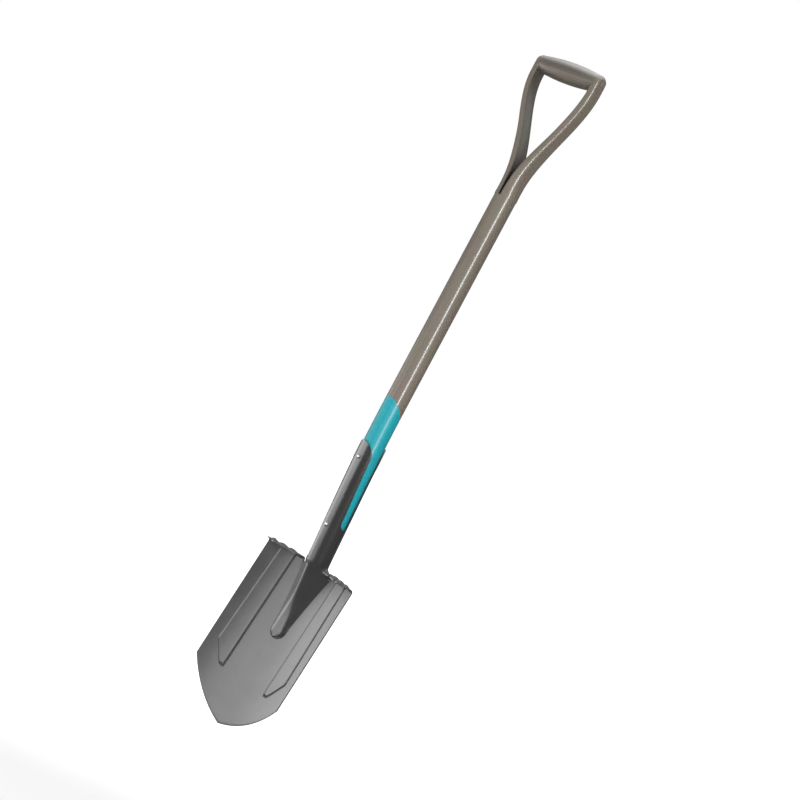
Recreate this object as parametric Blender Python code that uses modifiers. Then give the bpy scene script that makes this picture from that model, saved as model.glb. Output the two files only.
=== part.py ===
"""Pointed spade: a wooden shaft whose split top carries a turned grip, a steel socket made of
two straps, and a dished, pointed blade with side ribs and folded treads.

Lengths are in metres and +Z is up. The blade's front faces -Y. While the parts are modelled,
height 0 is the blade's top line and Y = 0 is the axis of the straight upper shaft. One empty
then lowers the whole tool, so that the origin sits where a peg carries the grip.
"""
from math import acos, atan, cos, pi, radians, sin, sqrt, tan

import bmesh
import bpy
from mathutils import Matrix, Vector

# Fits. Touching pieces keep this gap, so that no faceted solid cuts into its neighbour.
CLEARANCE = 0.0003

# Wooden shaft, measured up from the blade's top line.
SHAFT_RADIUS = 0.0184
SHAFT_TIP_RADIUS = 0.0172
SHAFT_TIP_HEIGHT = 0.034
TAPER_TOP_HEIGHT = 0.197
BEND_HEIGHT = 0.215
BEND_HALF_LENGTH = 0.075
BEND_ANGLE = radians(4.3)
PAINT_TOP_HEIGHT = 0.283
SPLIT_HEIGHT = 0.6535

# The two arms of the split, measured up from the start of the split.
ARM_RISE = 0.2035
ARM_SPREAD = 0.0550
ARM_DELAY = 1.2
ARM_THICKNESS = 0.0120
ARM_DEPTH = 0.0270
ARM_FORWARD = 0.004
ARM_FORWARD_START = 0.100
ARM_FORWARD_LENGTH = 0.090
ARM_THIN_LENGTH = 0.130
ARM_SQUARE_LENGTH = 0.100
ARM_INNER_ROUND = 0.003
ARM_OUTER_ROUND = 0.0075
ARM_TOP_ROUND = 0.008

# Turned grip and the rod that is riveted through it.
GRIP_HEIGHT = 0.2197
GRIP_MIDDLE_RADIUS = 0.0175
GRIP_END_RADIUS = 0.0140
GRIP_ROD_RADIUS = 0.003
GRIP_ROD_HEAD_RADIUS = 0.0042
GRIP_ROD_HEAD_HEIGHT = 0.0010

# Rivet across the shaft, just below the split.
THROAT_RIVET_DROP = 0.010
THROAT_RIVET_RADIUS = 0.002
THROAT_HEAD_RADIUS = 0.0035
THROAT_HEAD_HEIGHT = 0.0009

# Straps that form the socket.
STRAP_THICKNESS = 0.0022
FRONT_STRAP_HEIGHT = 0.2193
BACK_STRAP_HEIGHT = 0.222
STRAP_TOP_ROUND = 0.020
STRAP_TOP_SQUARENESS = 2.2
STRAP_SLANT = 0.0055
STRAP_SLANT_LENGTH = 0.060
STRAP_TOP_ANGLE = radians(54)
STRAP_LOW_ANGLE = radians(64.5)
BACK_STRAP_TOP_ROUND = 0.016
BACK_STRAP_TOP_SQUARENESS = 2.6
BACK_STRAP_TOP_ANGLE = radians(62)
BACK_STRAP_LOW_ANGLE = radians(75.5)
SLIT_END_HEIGHT = 0.0785
SEAM_TURN_HEIGHT = 0.035
SEAM_TURN_ANGLE = radians(24)

# Tongue of the front strap and tail of the back strap, down the blade's two faces.
FLARE_TOP_HEIGHT = 0.0105
FLARE_END_HEIGHT = 0.001
TONGUE_HALF_WIDTH = 0.0325
TONGUE_END_HALF_WIDTH = 0.0142
TONGUE_LENGTH = 0.1215
TONGUE_END_RISE = 0.0037
RIDGE_ROUND = 0.10
RIDGE_POWER_TOP = 1.15
RIDGE_POWER_END = 3.0
TAIL_HALF_WIDTH = 0.021
TAIL_END_HALF_WIDTH = 0.011
TAIL_LENGTH = 0.082
TAIL_END_RISE = 0.0032

# Rivets through the straps and the shaft.
SOCKET_RIVET_DROP = 0.0253
SOCKET_RIVET_SPACING = 0.117
SOCKET_RIVET_RADIUS = 0.0025
SOCKET_HEAD_RADIUS = 0.0038
SOCKET_HEAD_HEIGHT = 0.0018

# Blade, measured across and down from the middle of its top line.
BLADE_HALF_WIDTH = 0.0996
BLADE_SIDE_LENGTH = 0.210
BLADE_LENGTH = 0.281
BLADE_POINT_RADIUS = 0.173
BLADE_THICKNESS = 0.002
BLADE_LEAN = radians(8.5)
BLADE_SETBACK = 0.0103
BLADE_DISH_TOP = 0.0248
BLADE_DISH_LOW = 0.0201
NOTCH_HALF_WIDTH = 0.0333
NOTCH_DOWN = 0.002

# Pressed side ribs.
RIB_INNER = 0.0497
RIB_OUTER_TOP = 0.0762
RIB_OUTER_LOW = 0.0818
RIB_CORNER_UP = 0.038
RIB_TIP_UP = 0.0035
RIB_TIP_WIDTH = 0.0075
RIB_EDGE = 0.0030
RIB_HEIGHT = 0.0020

# Folded treads.
TREAD_HEIGHT = 0.0084
TREAD_DROP = radians(2)
TREAD_DEPTH = 0.028
TREAD_END_DEPTH = 0.0078
TREAD_CHAMFER_START = 0.076
TREAD_BEND_RADIUS = 0.005
RIDGE_FIRST = 0.0513
RIDGE_PITCH = 0.0175
RIDGE_COUNT = 3
RIDGE_WIDTH = 0.0085
RIDGE_HEIGHT = 0.0032

# How finely the curved shapes are drawn.
ARC_SEGMENTS = 7
CORNER_SEGMENTS = 3
STRAP_SEGMENTS = 14
TURNED_STEPS = 20


def ease(value):
    """Rise smoothly from 0 to 1 as the value does."""
    value = min(1.0, max(0.0, value))
    return value * value * (3 - 2 * value)


def mix(low, high, share):
    """A value or a point between two others."""
    return low + (high - low) * share


def spread(low, high, segments):
    """Evenly spaced values, both ends included."""
    return [mix(low, high, k / segments) for k in range(segments + 1)]


def clear_scene():
    """Start from an empty file."""
    for old in list(bpy.data.objects):
        bpy.data.objects.remove(old, do_unlink=True)


def new_material(name, colour, roughness, metallic):
    """A plain Principled material."""
    material = bpy.data.materials.new(name)
    material.use_nodes = True
    shader = material.node_tree.nodes["Principled BSDF"]
    shader.inputs["Base Color"].default_value = (*colour, 1.0)
    shader.inputs["Roughness"].default_value = roughness
    shader.inputs["Metallic"].default_value = metallic
    material.diffuse_color = (*colour, 1.0)
    return material


def new_mesh(name, rows, has_face, closed=False):
    """Join rows of points into a surface of four-sided faces, where has_face allows one."""
    body = bmesh.new()
    vertices = {}

    def vertex(row, column):
        if (row, column) not in vertices:
            vertices[row, column] = body.verts.new(rows[row][column])
        return vertices[row, column]

    for row in range(len(rows) - 1):
        columns = len(rows[row])
        for column in range(columns if closed else columns - 1):
            after = (column + 1) % columns
            if has_face(row, column):
                body.faces.new([vertex(row, column), vertex(row + 1, column),
                                vertex(row + 1, after), vertex(row, after)])
    return body, vertices


def finish_mesh(name, body, material, crease=radians(35)):
    """Turn a bmesh into a smooth shaded object."""
    mesh = bpy.data.meshes.new(name)
    body.to_mesh(mesh)
    body.free()
    mesh.materials.append(material)
    mesh.shade_smooth()
    mesh.set_sharp_from_angle(angle=crease)
    return bpy.data.objects.new(name, mesh)


def add_mirror(thing):
    """Complete a half that is open at X = 0."""
    mirror = thing.modifiers.new("Other half", "MIRROR")
    mirror.use_mirror_merge = True
    mirror.merge_threshold = 0.00001


def add_solidify(thing, thickness, offset):
    """Give a pressed sheet its thickness."""
    sheet = thing.modifiers.new("Sheet", "SOLIDIFY")
    sheet.thickness = thickness
    sheet.offset = offset
    sheet.use_even_offset = True


def add_cut(thing, cutter):
    """Cut a hole."""
    hole = thing.modifiers.new("Hole", "BOOLEAN")
    hole.operation = "DIFFERENCE"
    hole.solver = "EXACT"
    hole.object = cutter


def shaft_radius(height):
    """Wood radius: straight above, slightly tapered inside the socket."""
    share = (height - SHAFT_TIP_HEIGHT) / (TAPER_TOP_HEIGHT - SHAFT_TIP_HEIGHT)
    return mix(SHAFT_TIP_RADIUS, SHAFT_RADIUS, min(1.0, share))


def axis_slope(height):
    """Backward slope of the shaft's axis, after its gentle bend above the socket."""
    share = (BEND_HEIGHT + BEND_HALF_LENGTH - height) / (2 * BEND_HALF_LENGTH)
    return tan(BEND_ANGLE) * min(1.0, max(0.0, share))


def axis_back(height):
    """How far the shaft's axis lies behind that of its upper part."""
    bend_top = BEND_HEIGHT + BEND_HALF_LENGTH
    inside = min(max(bend_top - height, 0.0), 2 * BEND_HALF_LENGTH)
    below = max(bend_top - height - 2 * BEND_HALF_LENGTH, 0.0)
    return tan(BEND_ANGLE) * (inside * inside / (4 * BEND_HALF_LENGTH) + below)


def arm_inner(rise):
    """Distance from the middle plane to an arm's inner face."""
    share = min(1.0, max(0.0, rise / ARM_RISE))
    return ARM_SPREAD * ease(share ** ARM_DELAY)


def arm_box(rise):
    """Inner and outer face, depth and forward shift of an arm at a rise above the split."""
    step = ARM_RISE / 400
    slope = (arm_inner(rise + step) - arm_inner(rise - step)) / (2 * step)
    thinned = 1 - (1 - min(1.0, rise / ARM_THIN_LENGTH)) ** 2
    thickness = mix(SHAFT_RADIUS, ARM_THICKNESS, thinned) * sqrt(1 + slope * slope)
    depth = mix(2 * SHAFT_RADIUS, ARM_DEPTH, ease(rise / ARM_THIN_LENGTH))
    inner = arm_inner(rise)
    outer = inner + thickness
    above_axis = rise - GRIP_HEIGHT
    if above_axis > 0:
        depth *= sqrt(max(0.0, 1 - (2 * above_axis / ARM_DEPTH) ** 2))
        into_round = above_axis - (ARM_DEPTH / 2 - ARM_TOP_ROUND)
        if into_round > 0:
            outer -= ARM_TOP_ROUND - sqrt(max(0.0, ARM_TOP_ROUND ** 2 - into_round ** 2))
    forward = ARM_FORWARD * ease((rise - ARM_FORWARD_START) / ARM_FORWARD_LENGTH)
    return inner, outer, depth, forward


def half_round_ring(inner, outer, depth):
    """Half an ellipse, flat towards the middle, front to back, with points on its flat side."""
    ring = []
    half = depth / 2
    for k in range(CORNER_SEGMENTS):
        ring.append((inner, -half + ARM_INNER_ROUND * (1 - k / CORNER_SEGMENTS)))
    for angle in spread(0, pi, 2 * ARC_SEGMENTS + 3):
        ring.append((inner + (outer - inner) * sin(angle), -half * cos(angle)))
    for k in range(CORNER_SEGMENTS - 1, -1, -1):
        ring.append((inner, half - ARM_INNER_ROUND * (1 - k / CORNER_SEGMENTS)))
    return ring


def squared_ring(inner, outer, depth):
    """A rectangle with rounded corners, in as many points as the half ellipse."""
    half = depth / 2
    tight = min(ARM_INNER_ROUND, 0.3 * half)
    wide = min(ARM_OUTER_ROUND, 0.8 * half, 0.7 * (outer - inner))
    front = []
    for angle in spread(0, pi / 2, CORNER_SEGMENTS):
        front.append((inner + tight * (1 - cos(angle)), half - tight * (1 - sin(angle))))
    for angle in spread(0, pi / 2, ARC_SEGMENTS):
        front.append((outer - wide * (1 - sin(angle)), half - wide * (1 - cos(angle))))
    return [(x, -y) for x, y in front] + front[::-1]


def shaft_rows():
    """Rings of the shaft's right half, from its tip up to the top of the arm."""
    heights = [SHAFT_TIP_HEIGHT, TAPER_TOP_HEIGHT - 0.100, BEND_HEIGHT - BEND_HALF_LENGTH]
    heights += spread(BEND_HEIGHT - 0.050, BEND_HEIGHT + BEND_HALF_LENGTH, 5)
    heights += [TAPER_TOP_HEIGHT, PAINT_TOP_HEIGHT]
    heights = sorted(set(heights))
    heights += spread(mix(PAINT_TOP_HEIGHT, SPLIT_HEIGHT, 0.5), SPLIT_HEIGHT, 1)
    rings = []
    for height in heights:
        radius = shaft_radius(height)
        back = axis_back(height)
        ring = half_round_ring(0.0, radius, 2 * radius)
        rings.append([Vector((x, y + back, height)) for x, y in ring])
    rises = spread(0, ARM_RISE, 18)[1:] + [GRIP_HEIGHT]
    dome = [radians(angle) for angle in (22, 42, 58, 71, 82)]
    rises += [GRIP_HEIGHT + ARM_DEPTH / 2 * sin(angle) for angle in dome]
    for rise in rises:
        inner, outer, depth, forward = arm_box(rise)
        share = ease(rise / ARM_SQUARE_LENGTH)
        pairs = zip(half_round_ring(inner, outer, depth), squared_ring(inner, outer, depth))
        ring = [mix(Vector(a), Vector(b), share) for a, b in pairs]
        rings.append([Vector((p.x, p.y - forward, SPLIT_HEIGHT + rise)) for p in ring])
    return rings, len(heights) - 1


def make_shaft(wood, paint, holes):
    """The shaft: one piece of wood, split at the top, with its lower end painted."""
    rings, split = shaft_rows()
    last = len(rings[0]) - 1

    def on_outside(row, column):
        return row >= split or CORNER_SEGMENTS <= column < last - CORNER_SEGMENTS

    body, vertices = new_mesh("shaft", [ring[::-1] for ring in rings], on_outside, closed=True)
    for end in (0, len(rings) - 1):
        cap = [vertices[end, k] for k in range(last + 1) if (end, k) in vertices]
        body.faces.new(cap if end else cap[::-1])
    for face in list(body.faces):
        if face.calc_center_median().z < PAINT_TOP_HEIGHT:
            face.material_index = 1
    bmesh.ops.recalc_face_normals(body, faces=body.faces)
    shaft = finish_mesh("shaft", body, wood)
    shaft.data.materials.append(paint)
    add_mirror(shaft)
    for hole in holes:
        add_cut(shaft, hole)
    return shaft


def arc_points(centre, radius, start, end, segments):
    """Points of an arc in the plane of a turned profile."""
    return [(centre[0] + radius * sin(a), centre[1] + radius * cos(a))
            for a in spread(start, end, segments)]


def turned(name, profile, material, is_ring=False):
    """Turn a profile, listed down its outer side, round its own Z axis."""
    mesh = bpy.data.meshes.new(name)
    edges = [(k, k + 1) for k in range(len(profile) - 1)]
    if is_ring:
        edges.append((len(profile) - 1, 0))
    mesh.from_pydata([(x, 0.0, z) for x, z in profile], edges, [])
    mesh.materials.append(material)
    thing = bpy.data.objects.new(name, mesh)
    screw = thing.modifiers.new("Turn", "SCREW")
    screw.axis = "Z"
    screw.steps = TURNED_STEPS
    screw.render_steps = TURNED_STEPS
    screw.use_merge_vertices = True
    screw.merge_threshold = 0.00001
    screw.use_smooth_shade = True
    return thing


def make_grip(wood):
    """The grip: a barrel turned between the arms, bored for its rod."""
    half = ARM_SPREAD - CLEARANCE
    bulge = GRIP_MIDDLE_RADIUS - GRIP_END_RADIUS
    bow = (half * half + bulge * bulge) / (2 * bulge)
    reach = acos((bow - bulge) / bow)
    outside = [(GRIP_MIDDLE_RADIUS - bow + bow * cos(a), bow * sin(a))
               for a in spread(reach, -reach, 12)]
    bore = GRIP_ROD_RADIUS + CLEARANCE
    grip = turned("grip", outside + [(bore, -half), (bore, half)], wood, is_ring=True)
    grip.location = (0.0, -ARM_FORWARD, SPLIT_HEIGHT + GRIP_HEIGHT)
    grip.rotation_euler = (0.0, pi / 2, 0.0)
    return grip


def rivet_profile(seat, shank, head, dome):
    """Profile of a rivet with a low dome at each end, whose heads seat at the two seats."""
    bow = (head * head + dome * dome) / (2 * dome)
    reach = acos((bow - dome) / bow)
    top = arc_points((0.0, seat + dome - bow), bow, 0, reach, 4)
    half = top + [(shank, seat)]
    return half + [(x, -z) for x, z in half[::-1]]


def make_grip_rod(steel):
    """The rod that holds the arms on the grip, riveted over at both ends."""
    seat = ARM_SPREAD + ARM_THICKNESS + CLEARANCE
    profile = rivet_profile(seat, GRIP_ROD_RADIUS, GRIP_ROD_HEAD_RADIUS, GRIP_ROD_HEAD_HEIGHT)
    rod = turned("grip_rod", profile, steel)
    rod.location = (0.0, -ARM_FORWARD, SPLIT_HEIGHT + GRIP_HEIGHT)
    rod.rotation_euler = (0.0, pi / 2, 0.0)
    return rod


def make_throat_rivet(steel):
    """The rivet that stops the split from running down the shaft."""
    seat = SHAFT_RADIUS + CLEARANCE
    profile = rivet_profile(seat, THROAT_RIVET_RADIUS, THROAT_HEAD_RADIUS, THROAT_HEAD_HEIGHT)
    rivet = turned("throat_rivet", profile, steel)
    rivet.location = (0.0, 0.0, SPLIT_HEIGHT - THROAT_RIVET_DROP)
    rivet.rotation_euler = (0.0, pi / 2, 0.0)
    return rivet


def socket_rivet_heights():
    """Heights of the upper and the lower rivet through the socket."""
    upper = FRONT_STRAP_HEIGHT - SOCKET_RIVET_DROP
    return [("socket_rivet_upper", upper), ("socket_rivet_lower", upper - SOCKET_RIVET_SPACING)]


def across_socket(height):
    """Place and turn of a thing whose Z axis crosses the socket from back to front."""
    lean = Matrix.Rotation(pi / 2 + atan(axis_slope(height)), 4, "X")
    return Matrix.Translation((0.0, axis_back(height), height)) @ lean


def make_socket_rivet(name, height, steel):
    """One rivet through both straps and the shaft between them."""
    seat = strap_inner_radius(height) + STRAP_THICKNESS + CLEARANCE
    profile = rivet_profile(seat, SOCKET_RIVET_RADIUS, SOCKET_HEAD_RADIUS, SOCKET_HEAD_HEIGHT)
    rivet = turned(name, profile, steel)
    rivet.matrix_world = across_socket(height)
    return rivet


def make_drill(name, radius, length, placing):
    """A round cutter for a hole, centred on its place."""
    body = bmesh.new()
    bmesh.ops.create_cone(body, cap_ends=True, segments=16, radius1=radius, radius2=radius,
                          depth=length)
    mesh = bpy.data.meshes.new(name)
    body.to_mesh(mesh)
    body.free()
    drill = bpy.data.objects.new(name, mesh)
    drill.matrix_world = placing
    drill.hide_render = True
    drill.display_type = "WIRE"
    return drill


def make_drills():
    """The cutters for every hole, and which of them go through the socket."""
    sideways = Matrix.Rotation(pi / 2, 4, "Y")
    grip_place = Matrix.Translation((0.0, -ARM_FORWARD, SPLIT_HEIGHT + GRIP_HEIGHT))
    throat_place = Matrix.Translation((0.0, 0.0, SPLIT_HEIGHT - THROAT_RIVET_DROP))
    arm_reach = 3 * (ARM_SPREAD + ARM_THICKNESS)
    through = 4 * SHAFT_RADIUS
    cross = [make_drill("drill_grip_rod", GRIP_ROD_RADIUS + CLEARANCE, arm_reach,
                        grip_place @ sideways),
             make_drill("drill_throat", THROAT_RIVET_RADIUS + CLEARANCE, through,
                        throat_place @ sideways)]
    socket = [make_drill("drill_" + name, SOCKET_RIVET_RADIUS + CLEARANCE, through,
                         across_socket(height)) for name, height in socket_rivet_heights()]
    return cross, socket


def strap_inner_radius(height):
    """Radius of the socket's bore, a clearance outside the wood."""
    return shaft_radius(max(height, SHAFT_TIP_HEIGHT)) + CLEARANCE


def socket_point(height, angle):
    """A point of the socket's bore, where angle 0 is the front."""
    radius = strap_inner_radius(height)
    return Vector((radius * sin(angle), axis_back(height) - radius * cos(angle), height))


def blade_down(height):
    """Distance down the blade of a height below its top line."""
    return -height / cos(BLADE_LEAN)


def dish(across, down):
    """How far the dished blade stands forward of its middle line."""
    depth = mix(BLADE_DISH_TOP, BLADE_DISH_LOW, down / BLADE_SIDE_LENGTH)
    return depth * (across / BLADE_HALF_WIDTH) ** 2


def blade_point(across, down, forward):
    """A point a little forward of the blade's middle surface."""
    out = forward + dish(across, down)
    back = axis_back(0.0) + BLADE_SETBACK
    return Vector((across, back - down * sin(BLADE_LEAN) - out * cos(BLADE_LEAN),
                   out * sin(BLADE_LEAN) - down * cos(BLADE_LEAN)))


def seam_angle(height):
    """Angle of the seam between the straps below the slit. It turns back to meet the blade."""
    turn = (SEAM_TURN_HEIGHT - height) / SEAM_TURN_HEIGHT
    return pi / 2 + SEAM_TURN_ANGLE * ease(turn)


def strap_outline(front):
    """Height of a strap, the angles it covers high and low, and how its top is rounded."""
    if front:
        return (FRONT_STRAP_HEIGHT, STRAP_TOP_ANGLE, STRAP_LOW_ANGLE, STRAP_TOP_ROUND,
                STRAP_TOP_SQUARENESS)
    return (BACK_STRAP_HEIGHT, BACK_STRAP_TOP_ANGLE, BACK_STRAP_LOW_ANGLE, BACK_STRAP_TOP_ROUND,
            BACK_STRAP_TOP_SQUARENESS)


def strap_half_angle(height, front, seam):
    """Half the angle that a strap covers: rounded top, slit that narrows downwards, seam."""
    top, top_angle, low_angle, top_round, squareness = strap_outline(front)
    radius = strap_inner_radius(height)
    closed = seam - CLEARANCE / 2 / radius
    if height <= SLIT_END_HEIGHT:
        return closed
    share = (height - SLIT_END_HEIGHT) / (top - SLIT_END_HEIGHT)
    half = mix(low_angle, top_angle, share)
    slit_round = (pi / 2 - low_angle) * radius
    into_slit = min(1.0, (height - SLIT_END_HEIGHT) / slit_round)
    half = mix(closed, half, sqrt(1 - (1 - into_slit) ** 2))
    from_top = min(1.0, (top - height) / top_round)
    squared = 1 - (1 - from_top) ** squareness
    return half * squared ** (1 / squareness)


def strap_slant(height, front):
    """How far the front strap's top runs down to the right. It fades out below the top."""
    if not front:
        return 0.0
    start = FRONT_STRAP_HEIGHT - STRAP_SLANT_LENGTH
    return STRAP_SLANT * ease((height - start) / (STRAP_SLANT_LENGTH - STRAP_TOP_ROUND))


def strap_heights(front):
    """Heights of the strap's rows, close together where its outline is rounded."""
    top, _, low_angle, top_round, _ = strap_outline(front)
    crown = [top - top_round * share for share in (0.006, 0.04, 0.11, 0.24, 0.45, 0.72, 1.0)]
    slit_round = (pi / 2 - low_angle) * strap_inner_radius(SLIT_END_HEIGHT)
    slit = [SLIT_END_HEIGHT + slit_round * (1 - cos(radians(a))) for a in (90, 65, 42, 20, 0)]
    straight = spread(top - top_round, SLIT_END_HEIGHT + slit_round, 4)[1:-1]
    seam = spread(SLIT_END_HEIGHT, FLARE_TOP_HEIGHT, 5)[1:]
    return crown + straight + slit + seam


def roof(share, power):
    """Height across a tongue, 1 in its middle and 0 at its edges. A higher power is flatter."""
    curve = sqrt(share * share + RIDGE_ROUND * RIDGE_ROUND) - RIDGE_ROUND
    return 1 - (curve / (sqrt(1 + RIDGE_ROUND * RIDGE_ROUND) - RIDGE_ROUND)) ** power


def tongue_width(down, length, start, end):
    """Half width of a tongue that tapers and ends in a half circle."""
    centre = length - end
    if down > centre:
        return sqrt(max(0.0, end * end - (down - centre) ** 2))
    return mix(start, end, 1 - (1 - max(0.0, down) / centre) ** 1.25)


def crown_rise(down, front, length, end_rise):
    """Rise of the strap's inner crown line off the blade: straight from the socket to its end."""
    angle = 0.0 if front else pi
    at_top = socket_point(0.0, angle).y - (axis_back(0.0) + BLADE_SETBACK)
    start = abs(at_top) - BLADE_THICKNESS / 2 - CLEARANCE
    end = end_rise - STRAP_THICKNESS
    return mix(start, end, down / length)


def tongue_row(down, front, length, start, end, end_rise):
    """A row of the strap's inner surface over the blade's front or back face."""
    half = tongue_width(down, length, start, end)
    rise = crown_rise(down, front, length, end_rise)
    power = mix(RIDGE_POWER_TOP, RIDGE_POWER_END, ease(down / length) ** 1.5)
    side = 1 if front else -1
    row = []
    for share in spread(-1, 1, STRAP_SEGMENTS):
        off = BLADE_THICKNESS / 2 + CLEARANCE + rise * roof(share, power)
        row.append(blade_point(half * share, down, side * off))
    return row


def strap_rows(front, length, start, end, end_rise):
    """All rows of a strap's inner surface, from its top to the end of its tongue."""
    rows = []
    middle = 0.0 if front else pi

    def socket_row(height):
        seam = seam_angle(height) if front else pi - seam_angle(height)
        half = strap_half_angle(height, front, seam)
        side = 1 if front else -1
        slant = strap_slant(height, front)
        return [socket_point(height - slant * sin(a), middle + side * a)
                for a in spread(-half, half, STRAP_SEGMENTS)]

    for height in strap_heights(front):
        rows.append(socket_row(height))
    flare = spread(FLARE_TOP_HEIGHT, FLARE_END_HEIGHT, 5)[1:]
    for height in flare:
        share = ease((FLARE_TOP_HEIGHT - height) / (FLARE_TOP_HEIGHT - FLARE_END_HEIGHT))
        down = blade_down(height)
        over = tongue_row(down, front, length, start, end, end_rise)
        rows.append([mix(a, b, share) for a, b in zip(socket_row(height), over)])
    downs = spread(blade_down(FLARE_END_HEIGHT), length - end, 6)[1:]
    downs += [length - end + end * sin(radians(a)) for a in (18, 36, 52, 66, 78)]
    for down in downs:
        rows.append(tongue_row(down, front, length, start, end, end_rise))
    return rows if front else [row[::-1] for row in rows]


def make_strap(name, rows, steel, holes):
    """A strap: its inner surface, thickened outwards and drilled for the rivets."""
    body, _ = new_mesh(name, rows, lambda row, column: True)
    strap = finish_mesh(name, body, steel)
    add_solidify(strap, STRAP_THICKNESS, 1.0)
    for hole in holes:
        add_cut(strap, hole)
    return strap


def rib_outer(down):
    """Outer line of a rib: it widens a little, then runs in to the rib's pointed lower end."""
    corner = BLADE_SIDE_LENGTH - RIB_CORNER_UP
    tip = BLADE_SIDE_LENGTH - RIB_TIP_UP
    if down <= corner:
        return mix(RIB_OUTER_TOP, RIB_OUTER_LOW, down / corner)
    return mix(RIB_OUTER_LOW, RIB_INNER + RIB_TIP_WIDTH, min(1.0, (down - corner) / (tip - corner)))


RAMP = [0.0, 0.26, 0.74, 1.0]


def blade_lanes(down):
    """Grid lines across the blade, which follow the rib, and the rib's height on each."""
    edge = RIB_EDGE / 2
    outer = rib_outer(down)
    lanes = [(NOTCH_HALF_WIDTH, 0.0), (mix(NOTCH_HALF_WIDTH, RIB_INNER - edge, 0.5), 0.0)]
    lanes += list(zip(spread(RIB_INNER - edge, RIB_INNER + edge, 3), RAMP))
    lanes += [(x, 1.0) for x in spread(RIB_INNER + edge, outer - edge, 5)[1:-1]]
    lanes += list(zip(spread(outer - edge, outer + edge, 3), RAMP[::-1]))
    lanes += [(x, 0.0) for x in spread(outer + edge, BLADE_HALF_WIDTH, 6)[1:]]
    return lanes


def tread_lanes():
    """Grid lines across a tread, which follow its ridges, and the ridges' height on each."""
    half = RIDGE_WIDTH / 2
    lanes = [(NOTCH_HALF_WIDTH, 0.0), (mix(NOTCH_HALF_WIDTH, RIDGE_FIRST - half, 0.5), 0.0)]
    for count in range(RIDGE_COUNT):
        centre = RIDGE_FIRST + count * RIDGE_PITCH
        for share in spread(-1, 1, 4):
            lanes.append((centre + half * share, cos(share * pi / 2) ** 1.5 if abs(share) < 1 else 0.0))
        beyond = centre + RIDGE_PITCH / 2 if count < RIDGE_COUNT - 1 else BLADE_HALF_WIDTH
        lanes.append((beyond, 0.0))
    return lanes


def tread_depth(across):
    """Depth of the tread, cut off at an angle towards its outer end."""
    share = (across - TREAD_CHAMFER_START) / (BLADE_HALF_WIDTH - TREAD_CHAMFER_START)
    return mix(TREAD_DEPTH, TREAD_END_DEPTH, min(1.0, max(0.0, share)))


def tread_fold(across):
    """Where the sheet starts to fold, and the two directions along it there."""
    up = Vector((0.0, sin(BLADE_LEAN), cos(BLADE_LEAN)))
    ahead = Vector((0.0, -cos(BLADE_LEAN), sin(BLADE_LEAN)))
    base = blade_point(across, 0.0, 0.0)
    level = TREAD_HEIGHT + base.y * tan(TREAD_DROP) - base.z
    rise = level / (up.z - up.y * tan(TREAD_DROP))
    turn = pi / 2 + BLADE_LEAN + TREAD_DROP
    tangent = TREAD_BEND_RADIUS * tan(turn / 2)
    return base + up * (rise - tangent), up, ahead, turn, tangent


def fold_point(across, share):
    """A point of the tread's bend, share 0 at the blade and 1 at the flat tread."""
    start, up, ahead, turn, _ = tread_fold(across)
    angle = turn * share
    return start + (up * sin(angle) + ahead * (1 - cos(angle))) * TREAD_BEND_RADIUS


def tread_point(across, share, ridge):
    """A point of the flat tread, share 0 at its bend and 1 at its front edge."""
    tangent = tread_fold(across)[4]
    reach = (tread_depth(across) - tangent) * share
    out = Vector((0.0, -cos(TREAD_DROP), -sin(TREAD_DROP)))
    above = Vector((0.0, -sin(TREAD_DROP), cos(TREAD_DROP)))
    return fold_point(across, 1.0) + out * reach + above * ridge


def point_line(across):
    """Distance down to the blade's lower edge: one arc on each side, meeting at the tip."""
    shoulder = Vector((BLADE_HALF_WIDTH, BLADE_SIDE_LENGTH))
    tip = Vector((0.0, BLADE_LENGTH))
    chord = shoulder - tip
    inward = Vector((chord.y, -chord.x)).normalized()
    reach = sqrt(BLADE_POINT_RADIUS ** 2 - chord.length_squared / 4)
    centre = mix(tip, shoulder, 0.5) + inward * reach
    return centre.y + sqrt(BLADE_POINT_RADIUS ** 2 - (across - centre.x) ** 2)


def blade_rows():
    """Rows of the blade's right half, from the tread's front edge down to the point."""
    middle = spread(0.0, NOTCH_HALF_WIDTH, 3)[:-1]
    rows = []
    for share, strength in ((1.0, 0.0), (0.85, 0.65), (0.5, 1.0), (0.15, 0.65), (0.0, 0.2)):
        rows.append([tread_point(x, share, RIDGE_HEIGHT * height * strength)
                     for x, height in tread_lanes()])
    at_top = blade_lanes(0.0)
    ahead = Vector((0.0, -cos(BLADE_LEAN), sin(BLADE_LEAN)))
    for share, strength in ((0.75, 0.0), (0.5, 0.2), (0.25, 0.7), (0.0, 1.0)):
        rows.append([fold_point(mix(low[0], high[0], share), share)
                     + ahead * (RIB_HEIGHT * low[1] * strength)
                     for low, high in zip(at_top, tread_lanes())])
    rows = [[None] * len(middle) + row for row in rows]
    first_full = len(rows)
    corner = BLADE_SIDE_LENGTH - RIB_CORNER_UP
    tip = BLADE_SIDE_LENGTH - RIB_TIP_UP
    downs = [(down, 1.0) for down in spread(NOTCH_DOWN, corner, 6)]
    downs += [(down, 1.0) for down in spread(corner, tip - RIB_EDGE, 3)[1:]] + [(tip, 0.0)]
    for down, strength in downs:
        row = [blade_point(x, down, 0.0) for x in middle]
        row += [blade_point(x, down, RIB_HEIGHT * height * strength)
                for x, height in blade_lanes(down)]
        rows.append(row)
    for share in (0.3, 0.65, 1.0):
        across = middle + [x for x, _ in blade_lanes(tip)]
        rows.append([blade_point(x, mix(tip, point_line(x), share), 0.0) for x in across])
    return rows, first_full, len(middle)


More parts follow.
